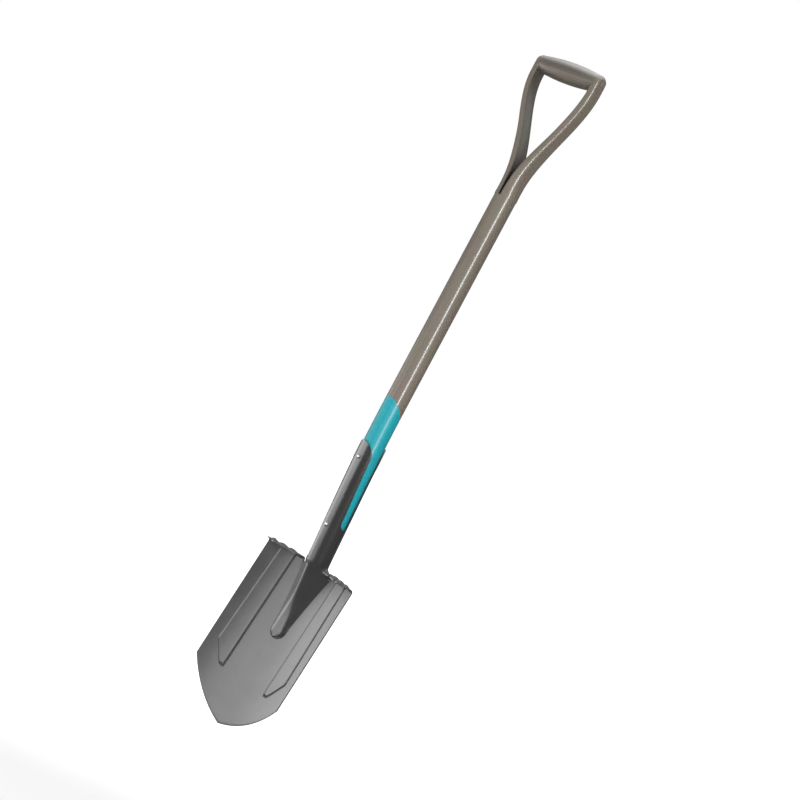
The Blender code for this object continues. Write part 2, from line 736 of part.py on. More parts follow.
def make_blade(steel):
    """The blade: one pressed sheet, with its ribs, and treads folded forward at the top."""
    rows, first_full, inner_lanes = blade_rows()

    def has_sheet(row, column):
        return row >= first_full or column >= inner_lanes

    body, _ = new_mesh("blade", rows, has_sheet)
    blade = finish_mesh("blade", body, steel)
    add_mirror(blade)
    add_solidify(blade, BLADE_THICKNESS, 0.0)
    return blade


def main():
    """Build every piece and lower the tool onto its origin."""
    clear_scene()
    wood = new_material("stained_ash", (0.165, 0.145, 0.118), 0.42, 0.0)
    grip_wood = new_material("stained_ash_grip", (0.165, 0.145, 0.118), 0.42, 0.0)
    paint = new_material("turquoise_paint", (0.022, 0.352, 0.420), 0.40, 0.0)
    steel = new_material("painted_steel", (0.180, 0.180, 0.180), 0.42, 0.55)
    bright = new_material("bright_steel", (0.62, 0.62, 0.62), 0.25, 1.0)

    cross, through_socket = make_drills()
    front_rows = strap_rows(True, TONGUE_LENGTH, TONGUE_HALF_WIDTH, TONGUE_END_HALF_WIDTH,
                            TONGUE_END_RISE)
    back_rows = strap_rows(False, TAIL_LENGTH, TAIL_HALF_WIDTH, TAIL_END_HALF_WIDTH,
                           TAIL_END_RISE)
    pieces = [make_shaft(wood, paint, cross + through_socket),
              make_grip(grip_wood),
              make_grip_rod(bright),
              make_throat_rivet(bright),
              make_strap("front_strap", front_rows, steel, through_socket),
              make_strap("back_strap", back_rows, steel, through_socket),
              make_blade(steel)]
    pieces += [make_socket_rivet(name, height, bright)
               for name, height in socket_rivet_heights()]

    spade = bpy.data.collections.new("pointed_spade")
    cutters = bpy.data.collections.new("cutters")
    bpy.context.scene.collection.children.link(spade)
    bpy.context.scene.collection.children.link(cutters)
    hang = bpy.data.objects.new("hanging_point", None)
    hang.location = (0.0, ARM_FORWARD, GRIP_MIDDLE_RADIUS - GRIP_HEIGHT - SPLIT_HEIGHT)
    spade.objects.link(hang)
    for piece in pieces:
        spade.objects.link(piece)
        piece.parent = hang
    for drill in cross + through_socket:
        cutters.objects.link(drill)
        drill.parent = hang
    bpy.context.view_layer.update()


main()
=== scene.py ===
# %% [markdown]
# # A pointed spade, dressed for its photograph
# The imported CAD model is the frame: it says where everything is. This lesson builds finer
# pieces over it, gives each surface a procedural finish, and lights and frames the tool as
# the photograph does. Lengths are in metres, +Z is up and the blade's dished face looks to -Y.

# %% Load the frame
from math import atan, cos, pi, radians, sin, sqrt, tan
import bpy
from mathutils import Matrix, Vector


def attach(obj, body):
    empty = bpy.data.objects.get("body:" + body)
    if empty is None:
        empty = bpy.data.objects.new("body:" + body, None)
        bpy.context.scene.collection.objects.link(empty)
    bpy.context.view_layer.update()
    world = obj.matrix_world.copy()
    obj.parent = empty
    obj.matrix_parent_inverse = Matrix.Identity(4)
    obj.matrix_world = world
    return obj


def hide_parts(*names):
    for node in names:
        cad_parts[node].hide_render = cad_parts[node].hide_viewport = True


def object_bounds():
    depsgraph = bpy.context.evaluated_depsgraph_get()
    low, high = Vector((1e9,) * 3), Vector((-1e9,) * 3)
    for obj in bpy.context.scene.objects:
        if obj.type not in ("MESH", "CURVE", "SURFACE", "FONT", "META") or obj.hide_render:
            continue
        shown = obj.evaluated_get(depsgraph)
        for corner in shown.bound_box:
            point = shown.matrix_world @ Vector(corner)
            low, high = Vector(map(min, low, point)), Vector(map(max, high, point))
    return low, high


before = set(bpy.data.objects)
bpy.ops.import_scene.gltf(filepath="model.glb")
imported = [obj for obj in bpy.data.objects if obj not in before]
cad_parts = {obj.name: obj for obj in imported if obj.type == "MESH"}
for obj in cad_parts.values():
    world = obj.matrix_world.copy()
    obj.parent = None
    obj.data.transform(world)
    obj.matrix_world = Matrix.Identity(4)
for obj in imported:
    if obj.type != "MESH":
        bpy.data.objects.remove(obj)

from types import SimpleNamespace

import bmesh
import bpy
from mathutils import Matrix, Vector

cad_low, cad_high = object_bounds()
print("nodes:", sorted(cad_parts))
print("CAD box:", [round(v, 4) for v in cad_low], [round(v, 4) for v in cad_high])

# %% [markdown]
# ## Sizes
# Most are the named sizes of the CAD source, and a few more shape the finer edges. Heights are
# counted from the blade's top line, and HANG moves everything so that the origin sits under
# the middle of the grip, where a peg carries the tool. Keeping one set of sizes is what lets
# each finer piece fit its neighbour.

# %% Sizes of the wooden parts
CLEARANCE = 0.0003
SHAFT_RADIUS = 0.0184
SHAFT_TIP_RADIUS = 0.0172
SHAFT_TIP_HEIGHT = 0.034
TAPER_TOP_HEIGHT = 0.197
BEND_HEIGHT = 0.215
BEND_HALF_LENGTH = 0.075
BEND_ANGLE = radians(4.3)
SPLIT_HEIGHT = 0.6535
ARM_RISE = 0.2035
ARM_SPREAD = 0.0550
ARM_DELAY = 1.2
KERF_HALF_WIDTH = 0.0012
KERF_START = 0.003
KERF_END = 0.060
ARM_THICKNESS = 0.0120
ARM_DEPTH = 0.0270
ARM_FORWARD = 0.004
ARM_FORWARD_START = 0.100
ARM_FORWARD_LENGTH = 0.090
ARM_THIN_LENGTH = 0.130
ARM_SQUARE_LENGTH = 0.100
ARM_INNER_ROUND = 0.003
ARM_OUTER_ROUND = 0.0075
ARM_TOP_ROUND = 0.008
GRIP_HEIGHT = 0.2197
GRIP_MIDDLE_RADIUS = 0.0175
GRIP_ROD_HEAD_RADIUS = 0.0042
GRIP_ROD_HEAD_HEIGHT = 0.0010
THROAT_RIVET_DROP = 0.010
THROAT_HEAD_RADIUS = 0.0035
THROAT_HEAD_HEIGHT = 0.0009
WOOD_HEAD_LIP = 0.0002
HANG = Vector((0.0, ARM_FORWARD, GRIP_MIDDLE_RADIUS - GRIP_HEIGHT - SPLIT_HEIGHT))

# %% Sizes of the steel parts
STRAP_THICKNESS = 0.0022
STRAP_EDGE_ROUND = 0.0009
STRAP_SLANT_LENGTH = 0.060
SLIT_END_HEIGHT = 0.0785
SEAM_TURN_HEIGHT = 0.035
SEAM_TURN_ANGLE = radians(24)
FLARE_TOP_HEIGHT = 0.0150
FLARE_END_HEIGHT = -0.002
TONGUE_CURVE = 1.25
RIDGE_ROUND_TOP = 0.09
RIDGE_ROUND_END = 0.07
RIDGE_POWER_TOP = 1.0
RIDGE_POWER_END = 3.0
FRONT_STRAP = SimpleNamespace(
    side=1, middle=0.0, height=0.2193, top_round=0.020, squareness=2.2, top_angle=radians(54),
    low_angle=radians(64.5), slant=0.0055, length=0.1215, half_width=0.0325,
    end_half_width=0.0142, end_rise=0.0037, sag=0.0030)
BACK_STRAP = SimpleNamespace(
    side=-1, middle=pi, height=0.222, top_round=0.016, squareness=2.6, top_angle=radians(62),
    low_angle=radians(75.5), slant=0.0, length=0.082, half_width=0.021,
    end_half_width=0.011, end_rise=0.0032, sag=0.0)
SOCKET_RIVET_DROP = 0.0253
SOCKET_RIVET_SPACING = 0.117
SOCKET_HEAD_RADIUS = 0.0038
SOCKET_HEAD_HEIGHT = 0.0018
SOCKET_HEAD_LIP = 0.0004
BLADE_HALF_WIDTH = 0.0996
BLADE_SIDE_LENGTH = 0.210
BLADE_LENGTH = 0.281
BLADE_POINT_RADIUS = 0.173
BLADE_THICKNESS = 0.002
BLADE_EDGE_ROUND = 0.0005
BLADE_LEAN = radians(8.5)
BLADE_SETBACK = 0.0103
BLADE_DISH_TOP = 0.0248
BLADE_DISH_LOW = 0.0201
NOTCH_HALF_WIDTH = 0.0333
NOTCH_DOWN = 0.002
RIB_INNER = 0.0497
RIB_OUTER_TOP = 0.0762
RIB_OUTER_LOW = 0.0818
RIB_CORNER_UP = 0.038
RIB_TIP_UP = 0.0035
RIB_TIP_WIDTH = 0.0075
RIB_EDGE = 0.0030
RIB_INNER_EDGE = 0.0009
RIB_OUTER_EDGE = 0.0034
RIB_HOLD = 0.0003
# Lanes just behind the rib's inner edge, a hair higher, where the finish paints a thin line of
# shade.
RIB_SHADE_LEVEL = 1.03
RIB_SHADE_WIDTH = 0.0012
RIB_HEIGHT = 0.0020
TREAD_HEIGHT = 0.0084
TREAD_DROP = radians(2)
TREAD_DEPTH = 0.028
TREAD_END_DEPTH = 0.0078
TREAD_CHAMFER_START = 0.076
TREAD_BEND_RADIUS = 0.005
RIDGE_FIRST = 0.0513
RIDGE_PITCH = 0.0175
RIDGE_COUNT = 3
RIDGE_WIDTH = 0.0085
RIDGE_HEIGHT = 0.0032
RIDGE_CREST = 1.5
print("blade:", 2 * BLADE_HALF_WIDTH, "x", BLADE_LENGTH, "shaft:", 2 * SHAFT_RADIUS)

# %% [markdown]
# ## Small helpers
# A surface is a grid of points: rows run down the tool, columns run across it. One function
# joins such a grid into faces. Another turns whatever modifiers made into a plain mesh, so
# that every finished piece is an ordinary object at the origin.


# %% Helpers for numbers and grids
WELD = 0.00001
SOFT_EDGE = radians(38)
HARD_EDGE = radians(60)


def limit(value):
    return min(1.0, max(0.0, value))


def ease(value):
    """A smooth step from 0 to 1."""
    value = limit(value)
    return value * value * (3 - 2 * value)


def mix(low, high, share):
    return low + (high - low) * share


def spread(low, high, segments):
    """Even numbers from low to high. Where they place points, segments says how finely."""
    return [mix(low, high, k / segments) for k in range(segments + 1)]


def new_object(name, points=(), faces=()):
    """A mesh object at the origin."""
    mesh = bpy.data.meshes.new(name)
    mesh.from_pydata(points, [], faces)
    thing = bpy.data.objects.new(name, mesh)
    bpy.context.scene.collection.objects.link(thing)
    return thing


def new_grid(name, rows, keep=None, closed=False, caps=(), values=None):
    """A surface from rows of points; values holds named rows of numbers to store on the points."""
    index, points, faces = {}, [], []

    def vertex(row, column):
        if (row, column) not in index:
            index[row, column] = len(points)
            points.append(rows[row][column] + HANG)
        return index[row, column]

    for row in range(len(rows) - 1):
        columns = len(rows[row])
        for column in range(columns if closed else columns - 1):
            after = (column + 1) % columns
            if keep is None or keep(row, column):
                faces.append([vertex(row, column), vertex(row + 1, column),
                              vertex(row + 1, after), vertex(row, after)])
    for row in caps:
        ring = [index[row, k] for k in range(len(rows[row])) if (row, k) in index]
        faces.append(ring if row else ring[::-1])
    thing = new_object(name, points, faces)
    for title, table in (values or {}).items():
        numbers = [0.0] * len(points)
        for (row, column), place in index.items():
            numbers[place] = table[row][column]
        thing.data.attributes.new(title, "FLOAT", "POINT").data.foreach_set("value", numbers)
    return thing


def settle(thing):
    """Turn a piece and its modifiers into one plain, smooth shaded mesh."""
    bpy.context.view_layer.update()
    graph = bpy.context.evaluated_depsgraph_get()
    mesh = bpy.data.meshes.new_from_object(thing.evaluated_get(graph), depsgraph=graph)
    mesh.name = thing.name
    thing.modifiers.clear()
    thing.data = mesh
    mesh.shade_smooth()
    mesh.set_sharp_from_angle(angle=SOFT_EDGE)
    print(thing.name, "has", len(mesh.polygons), "faces")
    return thing


def add(thing, kind, **settings):
    """Add a modifier with its settings."""
    modifier = thing.modifiers.new(kind.title(), kind)
    for key, value in settings.items():
        setattr(modifier, key, value)
    return modifier


# %% [markdown]
# ## Node tree helpers
# A Term is an output of a node that can be added, multiplied and so on, so a rule in a shader
# or geometry node tree reads like the formula that it is. Every input takes either a plain
# value or a term, which keeps each tree short enough to read.


# %% Helpers for node trees
def worked_by(operation):
    """A method that gives the result of a Math node."""
    return lambda *terms: maths(operation, *terms)


class Term:
    """An output of a node. Sums and products of terms are Math nodes in the same tree."""

    __add__, __sub__ = worked_by("ADD"), worked_by("SUBTRACT")
    __mul__, __truediv__ = worked_by("MULTIPLY"), worked_by("DIVIDE")
    __pow__, __abs__ = worked_by("POWER"), worked_by("ABSOLUTE")

    def __init__(self, socket):
        self.socket, self.tree = socket, socket.id_data

    def __rsub__(self, other):
        return maths("SUBTRACT", other, self)


def feed(socket, value):
    """Link an input to the term that feeds it, or set it to a plain value."""
    if isinstance(value, Term):
        value.tree.links.new(value.socket, socket)
    else:
        socket.default_value = value


def new_node(tree, kind, inputs=None, **settings):
    """A node with its settings, whose inputs are plain values or terms."""
    made = tree.nodes.new(kind)
    for key, value in settings.items():
        setattr(made, key, value)
    for key, value in (inputs or {}).items():
        feed(made.inputs[key], value)
    return made


def make(tree, kind, inputs=None, output=0, **settings):
    """One output of a new node, as a term."""
    return Term(new_node(tree, kind, inputs, **settings).outputs[output])


def maths(operation, *terms):
    """The result of a Math node, of terms and plain numbers."""
    tree = next(term.tree for term in terms if isinstance(term, Term))
    return make(tree, "ShaderNodeMath", dict(enumerate(terms)), operation=operation)


def clamp(value):
    return make(value.tree, "ShaderNodeClamp", {0: value})


def ramp(value, low, high, start=0.0, end=1.0, curve="LINEAR"):
    """A value remapped from low..high to start..end, and clamped."""
    return make(value.tree, "ShaderNodeMapRange", {0: value, 1: low, 2: high, 3: start, 4: end},
                interpolation_type=curve)


def split(vector):
    """The three numbers of a vector."""
    made = new_node(vector.tree, "ShaderNodeSeparateXYZ", {0: vector})
    return [Term(out) for out in made.outputs]


def vector_maths(operation, first, inputs, output=0):
    return make(first.tree, "ShaderNodeVectorMath", {0: first, **inputs}, output,
                operation=operation)


def blend(share, first, second, mode="MIX"):
    """A colour between two colours."""
    return make(share.tree, "ShaderNodeMix", {0: share, 6: first, 7: second}, 2,
                data_type="RGBA", blend_type=mode)


def new_group(name, kind, inputs, outputs):
    """An empty node group with named sockets, and its inputs as terms."""
    tree = bpy.data.node_groups.new(name, kind)
    for title, socket, value in inputs:
        made = tree.interface.new_socket(name=title, in_out="INPUT", socket_type=socket)
        if value is not None:
            made.default_value = value
    for title, socket in outputs:
        tree.interface.new_socket(name=title, in_out="OUTPUT", socket_type=socket)
    sockets = tree.nodes.new("NodeGroupInput").outputs
    return tree, {title: Term(sockets[title]) for title, _, _ in inputs}


def close_group(tree, outputs):
    """Feed the outputs of a group, which completes it."""
    sockets = tree.nodes.new("NodeGroupOutput").inputs
    for title, value in outputs.items():
        feed(sockets[title], value)
    print("group:", tree.name, "with", len(tree.nodes), "nodes")


def use_group(tree, group, inputs):
    """The outputs of a shader group placed in a material."""
    placed = new_node(tree, "ShaderNodeGroup", inputs, node_tree=group)
    return {out.name: Term(out) for out in placed.outputs}


def noise(place, scale, detail, distortion=0.0):
    """The value of a noise texture at a place."""
    return make(place.tree, "ShaderNodeTexNoise", {"Vector": place, "Scale": scale,
                                                   "Detail": detail, "Distortion": distortion})


def mapped(place, **changes):
    """A place moved, turned or scaled, so that a texture runs another way there."""
    return make(place.tree, "ShaderNodeMapping", {"Vector": place, **changes})


# %% [markdown]
# ## Shared surface effects
# Stained ash shows fine dark pores and slow bands along the grain. Both are the same noise,
# squeezed along the wood so that each mark runs far. The steel has a satin dark finish with a
# very fine grain from the spray, slow clouds and faint long rub marks. Both are groups with
# named sockets, so that every material of that kind uses one rule with its own values.

# %% Wood grain group
FLOAT, VECTOR = "NodeSocketFloat", "NodeSocketVector"
GRAIN_SQUEEZE = 0.007
CLOUD_SQUEEZE = 0.22
TINT_PLACE = (0.31, 0.17, 0.53)
PORE_RANGE, TONE_RANGE, TINT_RANGE = (0.54, 0.74), (0.34, 0.66), (0.38, 0.62)
CLOUD_SCALE, TINT_SCALE = 34.0, 62.0
BAND_SHARE = 0.55
BAND_RELIEF = 0.35

grain_group, given = new_group(
    "wood_grain", "ShaderNodeTree",
    [("Along Grain", VECTOR, None), ("Pore Scale", FLOAT, 480.0), ("Band Scale", FLOAT, 150.0)],
    [("Tone", FLOAT), ("Tint", FLOAT), ("Pores", FLOAT), ("Height", FLOAT)])
long_way = mapped(given["Along Grain"], Scale=(1.0, 1.0, GRAIN_SQUEEZE))
slow_way = mapped(given["Along Grain"], Scale=(1.0, 1.0, CLOUD_SQUEEZE))
pores = ramp(noise(long_way, given["Pore Scale"], 1.0), *PORE_RANGE)
bands = noise(long_way, given["Band Scale"], 2.0, 0.4)
cloud = noise(slow_way, CLOUD_SCALE, 2.0)
tint = noise(mapped(slow_way, Location=TINT_PLACE), TINT_SCALE, 1.0)
close_group(grain_group, {
    "Tone": ramp(bands * BAND_SHARE + cloud * (1 - BAND_SHARE), *TONE_RANGE),
    "Tint": ramp(tint, *TINT_RANGE), "Pores": pores, "Height": bands * BAND_RELIEF - pores})

# %% Steel finish group
RUB_TURN = (0.0, 0.12, 0.0)
RUB_SQUEEZE = 0.035
RUB_SCALE, STEEL_CLOUD_SCALE = 420.0, 14.0
RUB_RANGE = (0.60, 0.74)

spray_group, given = new_group(
    "spray_and_rubs", "ShaderNodeTree",
    [("Place", VECTOR, None), ("Spray Scale", FLOAT, 1500.0)],
    [("Spray", FLOAT), ("Rubs", FLOAT), ("Cloud", FLOAT)])
rubbed = mapped(given["Place"], Rotation=RUB_TURN, Scale=(1.0, 1.0, RUB_SQUEEZE))
close_group(spray_group, {
    "Spray": noise(given["Place"], given["Spray Scale"], 2.0),
    "Rubs": ramp(noise(rubbed, RUB_SCALE, 2.0), *RUB_RANGE),
    "Cloud": noise(given["Place"], STEEL_CLOUD_SCALE, 4.0)})


# %% [markdown]
# ## Finishes
# Each material starts from the colour seen in the photograph. The wood's grain follows the
# shaft and bends with its arms, because its texture is placed by an attribute stored on the
# mesh, counted across and along the piece of wood. The same attribute marks the flat inner
# faces of the arms, where the wood was split: there the colour is darker and greyer, and down
# in the narrow split it is painted shade, nearly black. The turquoise was dipped at a slant,
# so its upper edge is a sloping plane through the round shaft.

# %% Wood, and the painted lower end of the shaft
WOOD_OLIVE = (0.200, 0.180, 0.134, 1.0)
WOOD_ROSE = (0.220, 0.176, 0.150, 1.0)
WOOD_DARK = (0.155, 0.130, 0.102, 1.0)
WOOD_PORE = (0.080, 0.064, 0.050, 1.0)
GRIP_OLIVE = (0.118, 0.101, 0.074, 1.0)
GRIP_ROSE = (0.140, 0.103, 0.080, 1.0)
GRIP_DARK = (0.042, 0.035, 0.027, 1.0)
INNER_FACE_TONE = (0.45, 0.465, 0.475, 1.0)
INNER_FACE_EDGE = 0.0022
INNER_FACE_START = 0.004
# Painted shade deep in the narrow split between the arms.
KERF_PAINTED_SHADE = (0.012, 0.010, 0.009, 1.0)
KERF_SHADE_END = 0.075
KERF_SHADE_FULL = 0.03
PAINT_LIGHT = (0.006, 0.380, 0.445, 1.0)
PAINT_DEEP = (0.003, 0.310, 0.370, 1.0)
PAINT_EDGE_HEIGHT = 0.2797
PAINT_EDGE_SLOPE = 1.0
GRAIN_DEPTH = 0.0004
DULLER, SLEEKER = 0.05, 0.03


def new_material(name):
    """A material with its plain shader, and its node tree."""
    material = bpy.data.materials.new(name)
    material.use_nodes = True
    return material, material.node_tree


def dress(tree, inputs):
    """Feed the shader of a material."""
    for key, value in inputs.items():
        feed(tree.nodes["Principled BSDF"].inputs[key], value)


def bump(height, strength, distance):
    return make(height.tree, "ShaderNodeBump",
                {"Strength": strength, "Distance": distance, "Height": height})


def wooden(name, light, tinted, dark, pore_share, relief, gloss):
    """Varnish or paint over wood, whose grain shows through as colour and as relief."""
    material, tree = new_material(name)
    place = make(tree, "ShaderNodeAttribute", None, "Vector", attribute_name="grain")
    across, _, along = split(place)
    grain = use_group(tree, grain_group, {"Along Grain": place})
    colour = blend(grain["Tone"], dark, blend(grain["Tint"], light, tinted))
    colour = blend(grain["Pores"] * pore_share, colour, WOOD_PORE)
    above_split = ramp(along, SPLIT_HEIGHT, SPLIT_HEIGHT + INNER_FACE_START)
    # Darker, greyer colour on the flat inner faces of the arms, above the split.
    on_inner_face = ramp(abs(across), INNER_FACE_EDGE, 0.0) * above_split
    # Painted shade: nearly black down in the narrow split, fading out higher up the arms.
    kerf_shade = ramp(along, SPLIT_HEIGHT + KERF_SHADE_END, SPLIT_HEIGHT + KERF_SHADE_FULL)
    colour = blend(on_inner_face, colour, INNER_FACE_TONE, "MULTIPLY")
    colour = blend(kerf_shade * on_inner_face, colour, KERF_PAINTED_SHADE)
    rough = gloss["rough"]
    dress(tree, {
        "Base Color": colour, "Normal": bump(grain["Height"], relief, GRAIN_DEPTH),
        "Roughness": ramp(grain["Tone"], 0.0, 1.0, rough + DULLER, rough - SLEEKER),
        "Specular IOR Level": gloss["specular"], "Coat Weight": gloss["coat"],
        "Coat Roughness": gloss["coat rough"]})
    return material


varnish = {"rough": 0.55, "specular": 0.12, "coat": 0.66, "coat rough": 0.23}
worn_varnish = {"rough": 0.55, "specular": 0.30, "coat": 1.0, "coat rough": 0.40}
enamel = {"rough": 0.45, "specular": 0.10, "coat": 0.40, "coat rough": 0.33}
shaft_finish = wooden("stained_ash", WOOD_OLIVE, WOOD_ROSE, WOOD_DARK,
                      pore_share=0.20, relief=0.012, gloss=varnish)
grip_finish = wooden("stained_ash_grip", GRIP_OLIVE, GRIP_ROSE, GRIP_DARK,
                     pore_share=0.30, relief=0.04, gloss=worn_varnish)
paint_finish = wooden("turquoise_paint", PAINT_LIGHT, PAINT_LIGHT, PAINT_DEEP,
                      pore_share=0.04, relief=0.03, gloss=enamel)
print("wooden finishes:", [m.name for m in (shaft_finish, grip_finish, paint_finish)])

# %% [markdown]
# The steel comes in two glosses: the straps are more metallic than the blade, so their dark
# flanks stay dark beside it. The rib's inner edge is a sharp fold; its shade is painted there
# as a thin dark line where the mesh's "rib" attribute rises just above 1. Rivets are bare metal,
# and the two in the wood are dulled by the varnish that was brushed over them.

# %% Dark satin steel and bright rivets
STEEL_DARK = (0.120, 0.120, 0.121, 1.0)
STEEL_LIGHT = (0.140, 0.140, 0.141, 1.0)
STEEL_RUB = (0.220, 0.220, 0.222, 1.0)
STRAP_DARK = (0.128, 0.128, 0.129, 1.0)
STRAP_LIGHT = (0.144, 0.144, 0.145, 1.0)
RIVET_BRIGHT = (0.66, 0.66, 0.67, 1.0)
RIVET_DULL = (0.34, 0.34, 0.35, 1.0)
VARNISHED_DARK = (0.20, 0.185, 0.165, 1.0)
VARNISHED_LIGHT = (0.27, 0.255, 0.23, 1.0)
RUB_SHARE = 0.10
SHADE_RANGE, GLOSS_RANGE = (0.35, 0.65), (0.3, 0.7)
SPRAY_STRENGTH, SPRAY_DEPTH = 0.20, 0.0002
# Painted shade: a thin dark line along the rib's inner edge.
CREASE_PAINTED_SHADE = (0.010, 0.010, 0.010, 1.0)
CREASE_SHADE_SHARE = 0.85
CREASE_SHADE_FROM, CREASE_SHADE_FULL = 1.004, 1.026


def steely(name, dark, light, rub, rough, metallic):
    """Metal with a fine grain, slow clouds, faint rub marks and a line of painted shade beside a
    rib.
    """
    material, tree = new_material(name)
    place = make(tree, "ShaderNodeTexCoord", None, "Object")
    marks = use_group(tree, spray_group, {"Place": place})
    rib = make(tree, "ShaderNodeAttribute", None, "Fac", attribute_name="rib")
    colour = blend(ramp(marks["Cloud"], *SHADE_RANGE), dark, light)
    colour = blend(marks["Rubs"] * RUB_SHARE, colour, rub)
    # Painted shade: darken a thin line where the rib attribute is just above 1, behind the rib's
    # inner edge.
    colour = blend(ramp(rib, CREASE_SHADE_FROM, CREASE_SHADE_FULL, 0.0, CREASE_SHADE_SHARE), colour, CREASE_PAINTED_SHADE)
    dress(tree, {"Base Color": colour, "Metallic": metallic,
                 "Roughness": ramp(marks["Cloud"], *GLOSS_RANGE, *rough),
                 "Normal": bump(marks["Spray"], SPRAY_STRENGTH, SPRAY_DEPTH)})
    return material


steel = steely("satin_dark_steel", STEEL_DARK, STEEL_LIGHT, STEEL_RUB,
               rough=(0.28, 0.33), metallic=0.55)
strap_steel = steely("satin_strap_steel", STRAP_DARK, STRAP_LIGHT, STEEL_RUB,
                     rough=(0.26, 0.31), metallic=0.88)
bright = steely("bright_steel", RIVET_DULL, RIVET_BRIGHT, RIVET_BRIGHT,
                rough=(0.20, 0.32), metallic=1.0)
dulled = steely("varnished_steel", VARNISHED_DARK, VARNISHED_LIGHT, RIVET_DULL,
                rough=(0.38, 0.46), metallic=0.3)
print("steel finishes:", [m.name for m in (steel, strap_steel, bright, dulled)])


# %% [markdown]
# ## The wooden shaft
# A straight round pole with a slight bend above the socket. Its top is sawn down the middle,
# steamed and spread into two arms, so each arm starts as half a circle and ends nearly square.
# Only the right half is drawn, as rings of points, and a Mirror completes it.


# %% The shaft's centre line and its arms
SLOPE_STEPS = 400


def shaft_radius(height):
    share = (height - SHAFT_TIP_HEIGHT) / (TAPER_TOP_HEIGHT - SHAFT_TIP_HEIGHT)
    return mix(SHAFT_TIP_RADIUS, SHAFT_RADIUS, min(1.0, share))


def axis_slope(height):
    share = (BEND_HEIGHT + BEND_HALF_LENGTH - height) / (2 * BEND_HALF_LENGTH)
    return tan(BEND_ANGLE) * limit(share)


def axis_back(height):
    """How far back the shaft's axis runs, which it does below its bend."""
    bend_top = BEND_HEIGHT + BEND_HALF_LENGTH
    inside = min(max(bend_top - height, 0.0), 2 * BEND_HALF_LENGTH)
    below = max(bend_top - height - 2 * BEND_HALF_LENGTH, 0.0)
    return tan(BEND_ANGLE) * (inside * inside / (4 * BEND_HALF_LENGTH) + below)


def arm_inner(rise):
    """How far an arm's inner face is from the middle, at a rise above the split."""
    kerf = KERF_HALF_WIDTH * ease(rise / KERF_START) * (1 - ease(rise / KERF_END))
    return ARM_SPREAD * ease(limit(rise / ARM_RISE) ** ARM_DELAY) + kerf


def arm_forward(rise):
    return ARM_FORWARD * ease((rise - ARM_FORWARD_START) / ARM_FORWARD_LENGTH)


def arm_box(rise):
    """An arm's inner and outer side and its depth from front to back."""
    step = ARM_RISE / SLOPE_STEPS
    slope = (arm_inner(rise + step) - arm_inner(rise - step)) / (2 * step)
    thinned = 1 - (1 - min(1.0, rise / ARM_THIN_LENGTH)) ** 2
    thickness = mix(SHAFT_RADIUS, ARM_THICKNESS, thinned) * sqrt(1 + slope * slope)
    depth = mix(2 * SHAFT_RADIUS, ARM_DEPTH, ease(rise / ARM_THIN_LENGTH))
    inner = arm_inner(rise)
    outer = inner + thickness
    above_axis = rise - GRIP_HEIGHT
    if above_axis > 0:
        depth *= sqrt(max(0.0, 1 - (2 * above_axis / ARM_DEPTH) ** 2))
        into_round = above_axis - (ARM_DEPTH / 2 - ARM_TOP_ROUND)
        if into_round > 0:
            outer -= ARM_TOP_ROUND - sqrt(max(0.0, ARM_TOP_ROUND ** 2 - into_round ** 2))
    return inner, outer, depth


# %% The rings
CORNER_STEPS, ARC_STEPS = 6, 16
FOOT_STEPS, BEND_STEPS, POLE_STEPS = 4, 16, 8
ARM_STEPS, SEAT_STEPS, TOP_STEPS = 64, 4, 14
TIGHT_SHARE, WIDE_SHARE, REACH_SHARE = 0.3, 0.8, 0.7


def half_round_ring(inner, outer, depth):
    half = depth / 2
    edge = [ARM_INNER_ROUND * (1 - k / CORNER_STEPS) for k in range(CORNER_STEPS)]
    ring = [(inner, -half + step) for step in edge]
    for angle in spread(0, pi, 2 * ARC_STEPS + 1):
        ring.append((inner + (outer - inner) * sin(angle), -half * cos(angle)))
    return ring + [(inner, half - step) for step in edge[::-1]]


def squared_ring(inner, outer, depth):
    half = depth / 2
    tight = min(ARM_INNER_ROUND, TIGHT_SHARE * half)
    wide = min(ARM_OUTER_ROUND, WIDE_SHARE * half, REACH_SHARE * (outer - inner))
    front = [(inner + tight * (1 - cos(a)), half - tight * (1 - sin(a)))
             for a in spread(0, pi / 2, CORNER_STEPS)]
    front += [(outer - wide * (1 - sin(a)), half - wide * (1 - cos(a)))
              for a in spread(0, pi / 2, ARC_STEPS)]
    return [(x, -y) for x, y in front] + front[::-1]


def shaft_rows():
    """Rings of points up the shaft's right half, and the row where the arms begin."""
    bend_low, bend_top = BEND_HEIGHT - BEND_HALF_LENGTH, BEND_HEIGHT + BEND_HALF_LENGTH
    heights = spread(SHAFT_TIP_HEIGHT, bend_low, FOOT_STEPS)
    heights += spread(bend_low, bend_top, BEND_STEPS)[1:]
    heights += spread(bend_top, SPLIT_HEIGHT, POLE_STEPS)[1:]
    rings = []
    for height in heights:
        radius = shaft_radius(height)
        ring = half_round_ring(0.0, radius, 2 * radius)
        rings.append([Vector((x, y + axis_back(height), height)) for x, y in ring])
    rises = spread(0, ARM_RISE, ARM_STEPS)[1:] + spread(ARM_RISE, GRIP_HEIGHT, SEAT_STEPS)[1:]
    rises += [GRIP_HEIGHT + ARM_DEPTH / 2 * sin(radians(a)) for a in spread(6, 88, TOP_STEPS)]
    for rise in rises:
        box, share = arm_box(rise), ease(rise / ARM_SQUARE_LENGTH)
        pairs = zip(half_round_ring(*box), squared_ring(*box))
        ring = [mix(Vector(a), Vector(b), share) for a, b in pairs]
        rings.append([Vector((p.x, p.y - arm_forward(rise), SPLIT_HEIGHT + rise)) for p in ring])
    return rings, len(heights) - 1


# %% The shaft, and where its grain runs
CUT_TOLERANCE = 1e-7


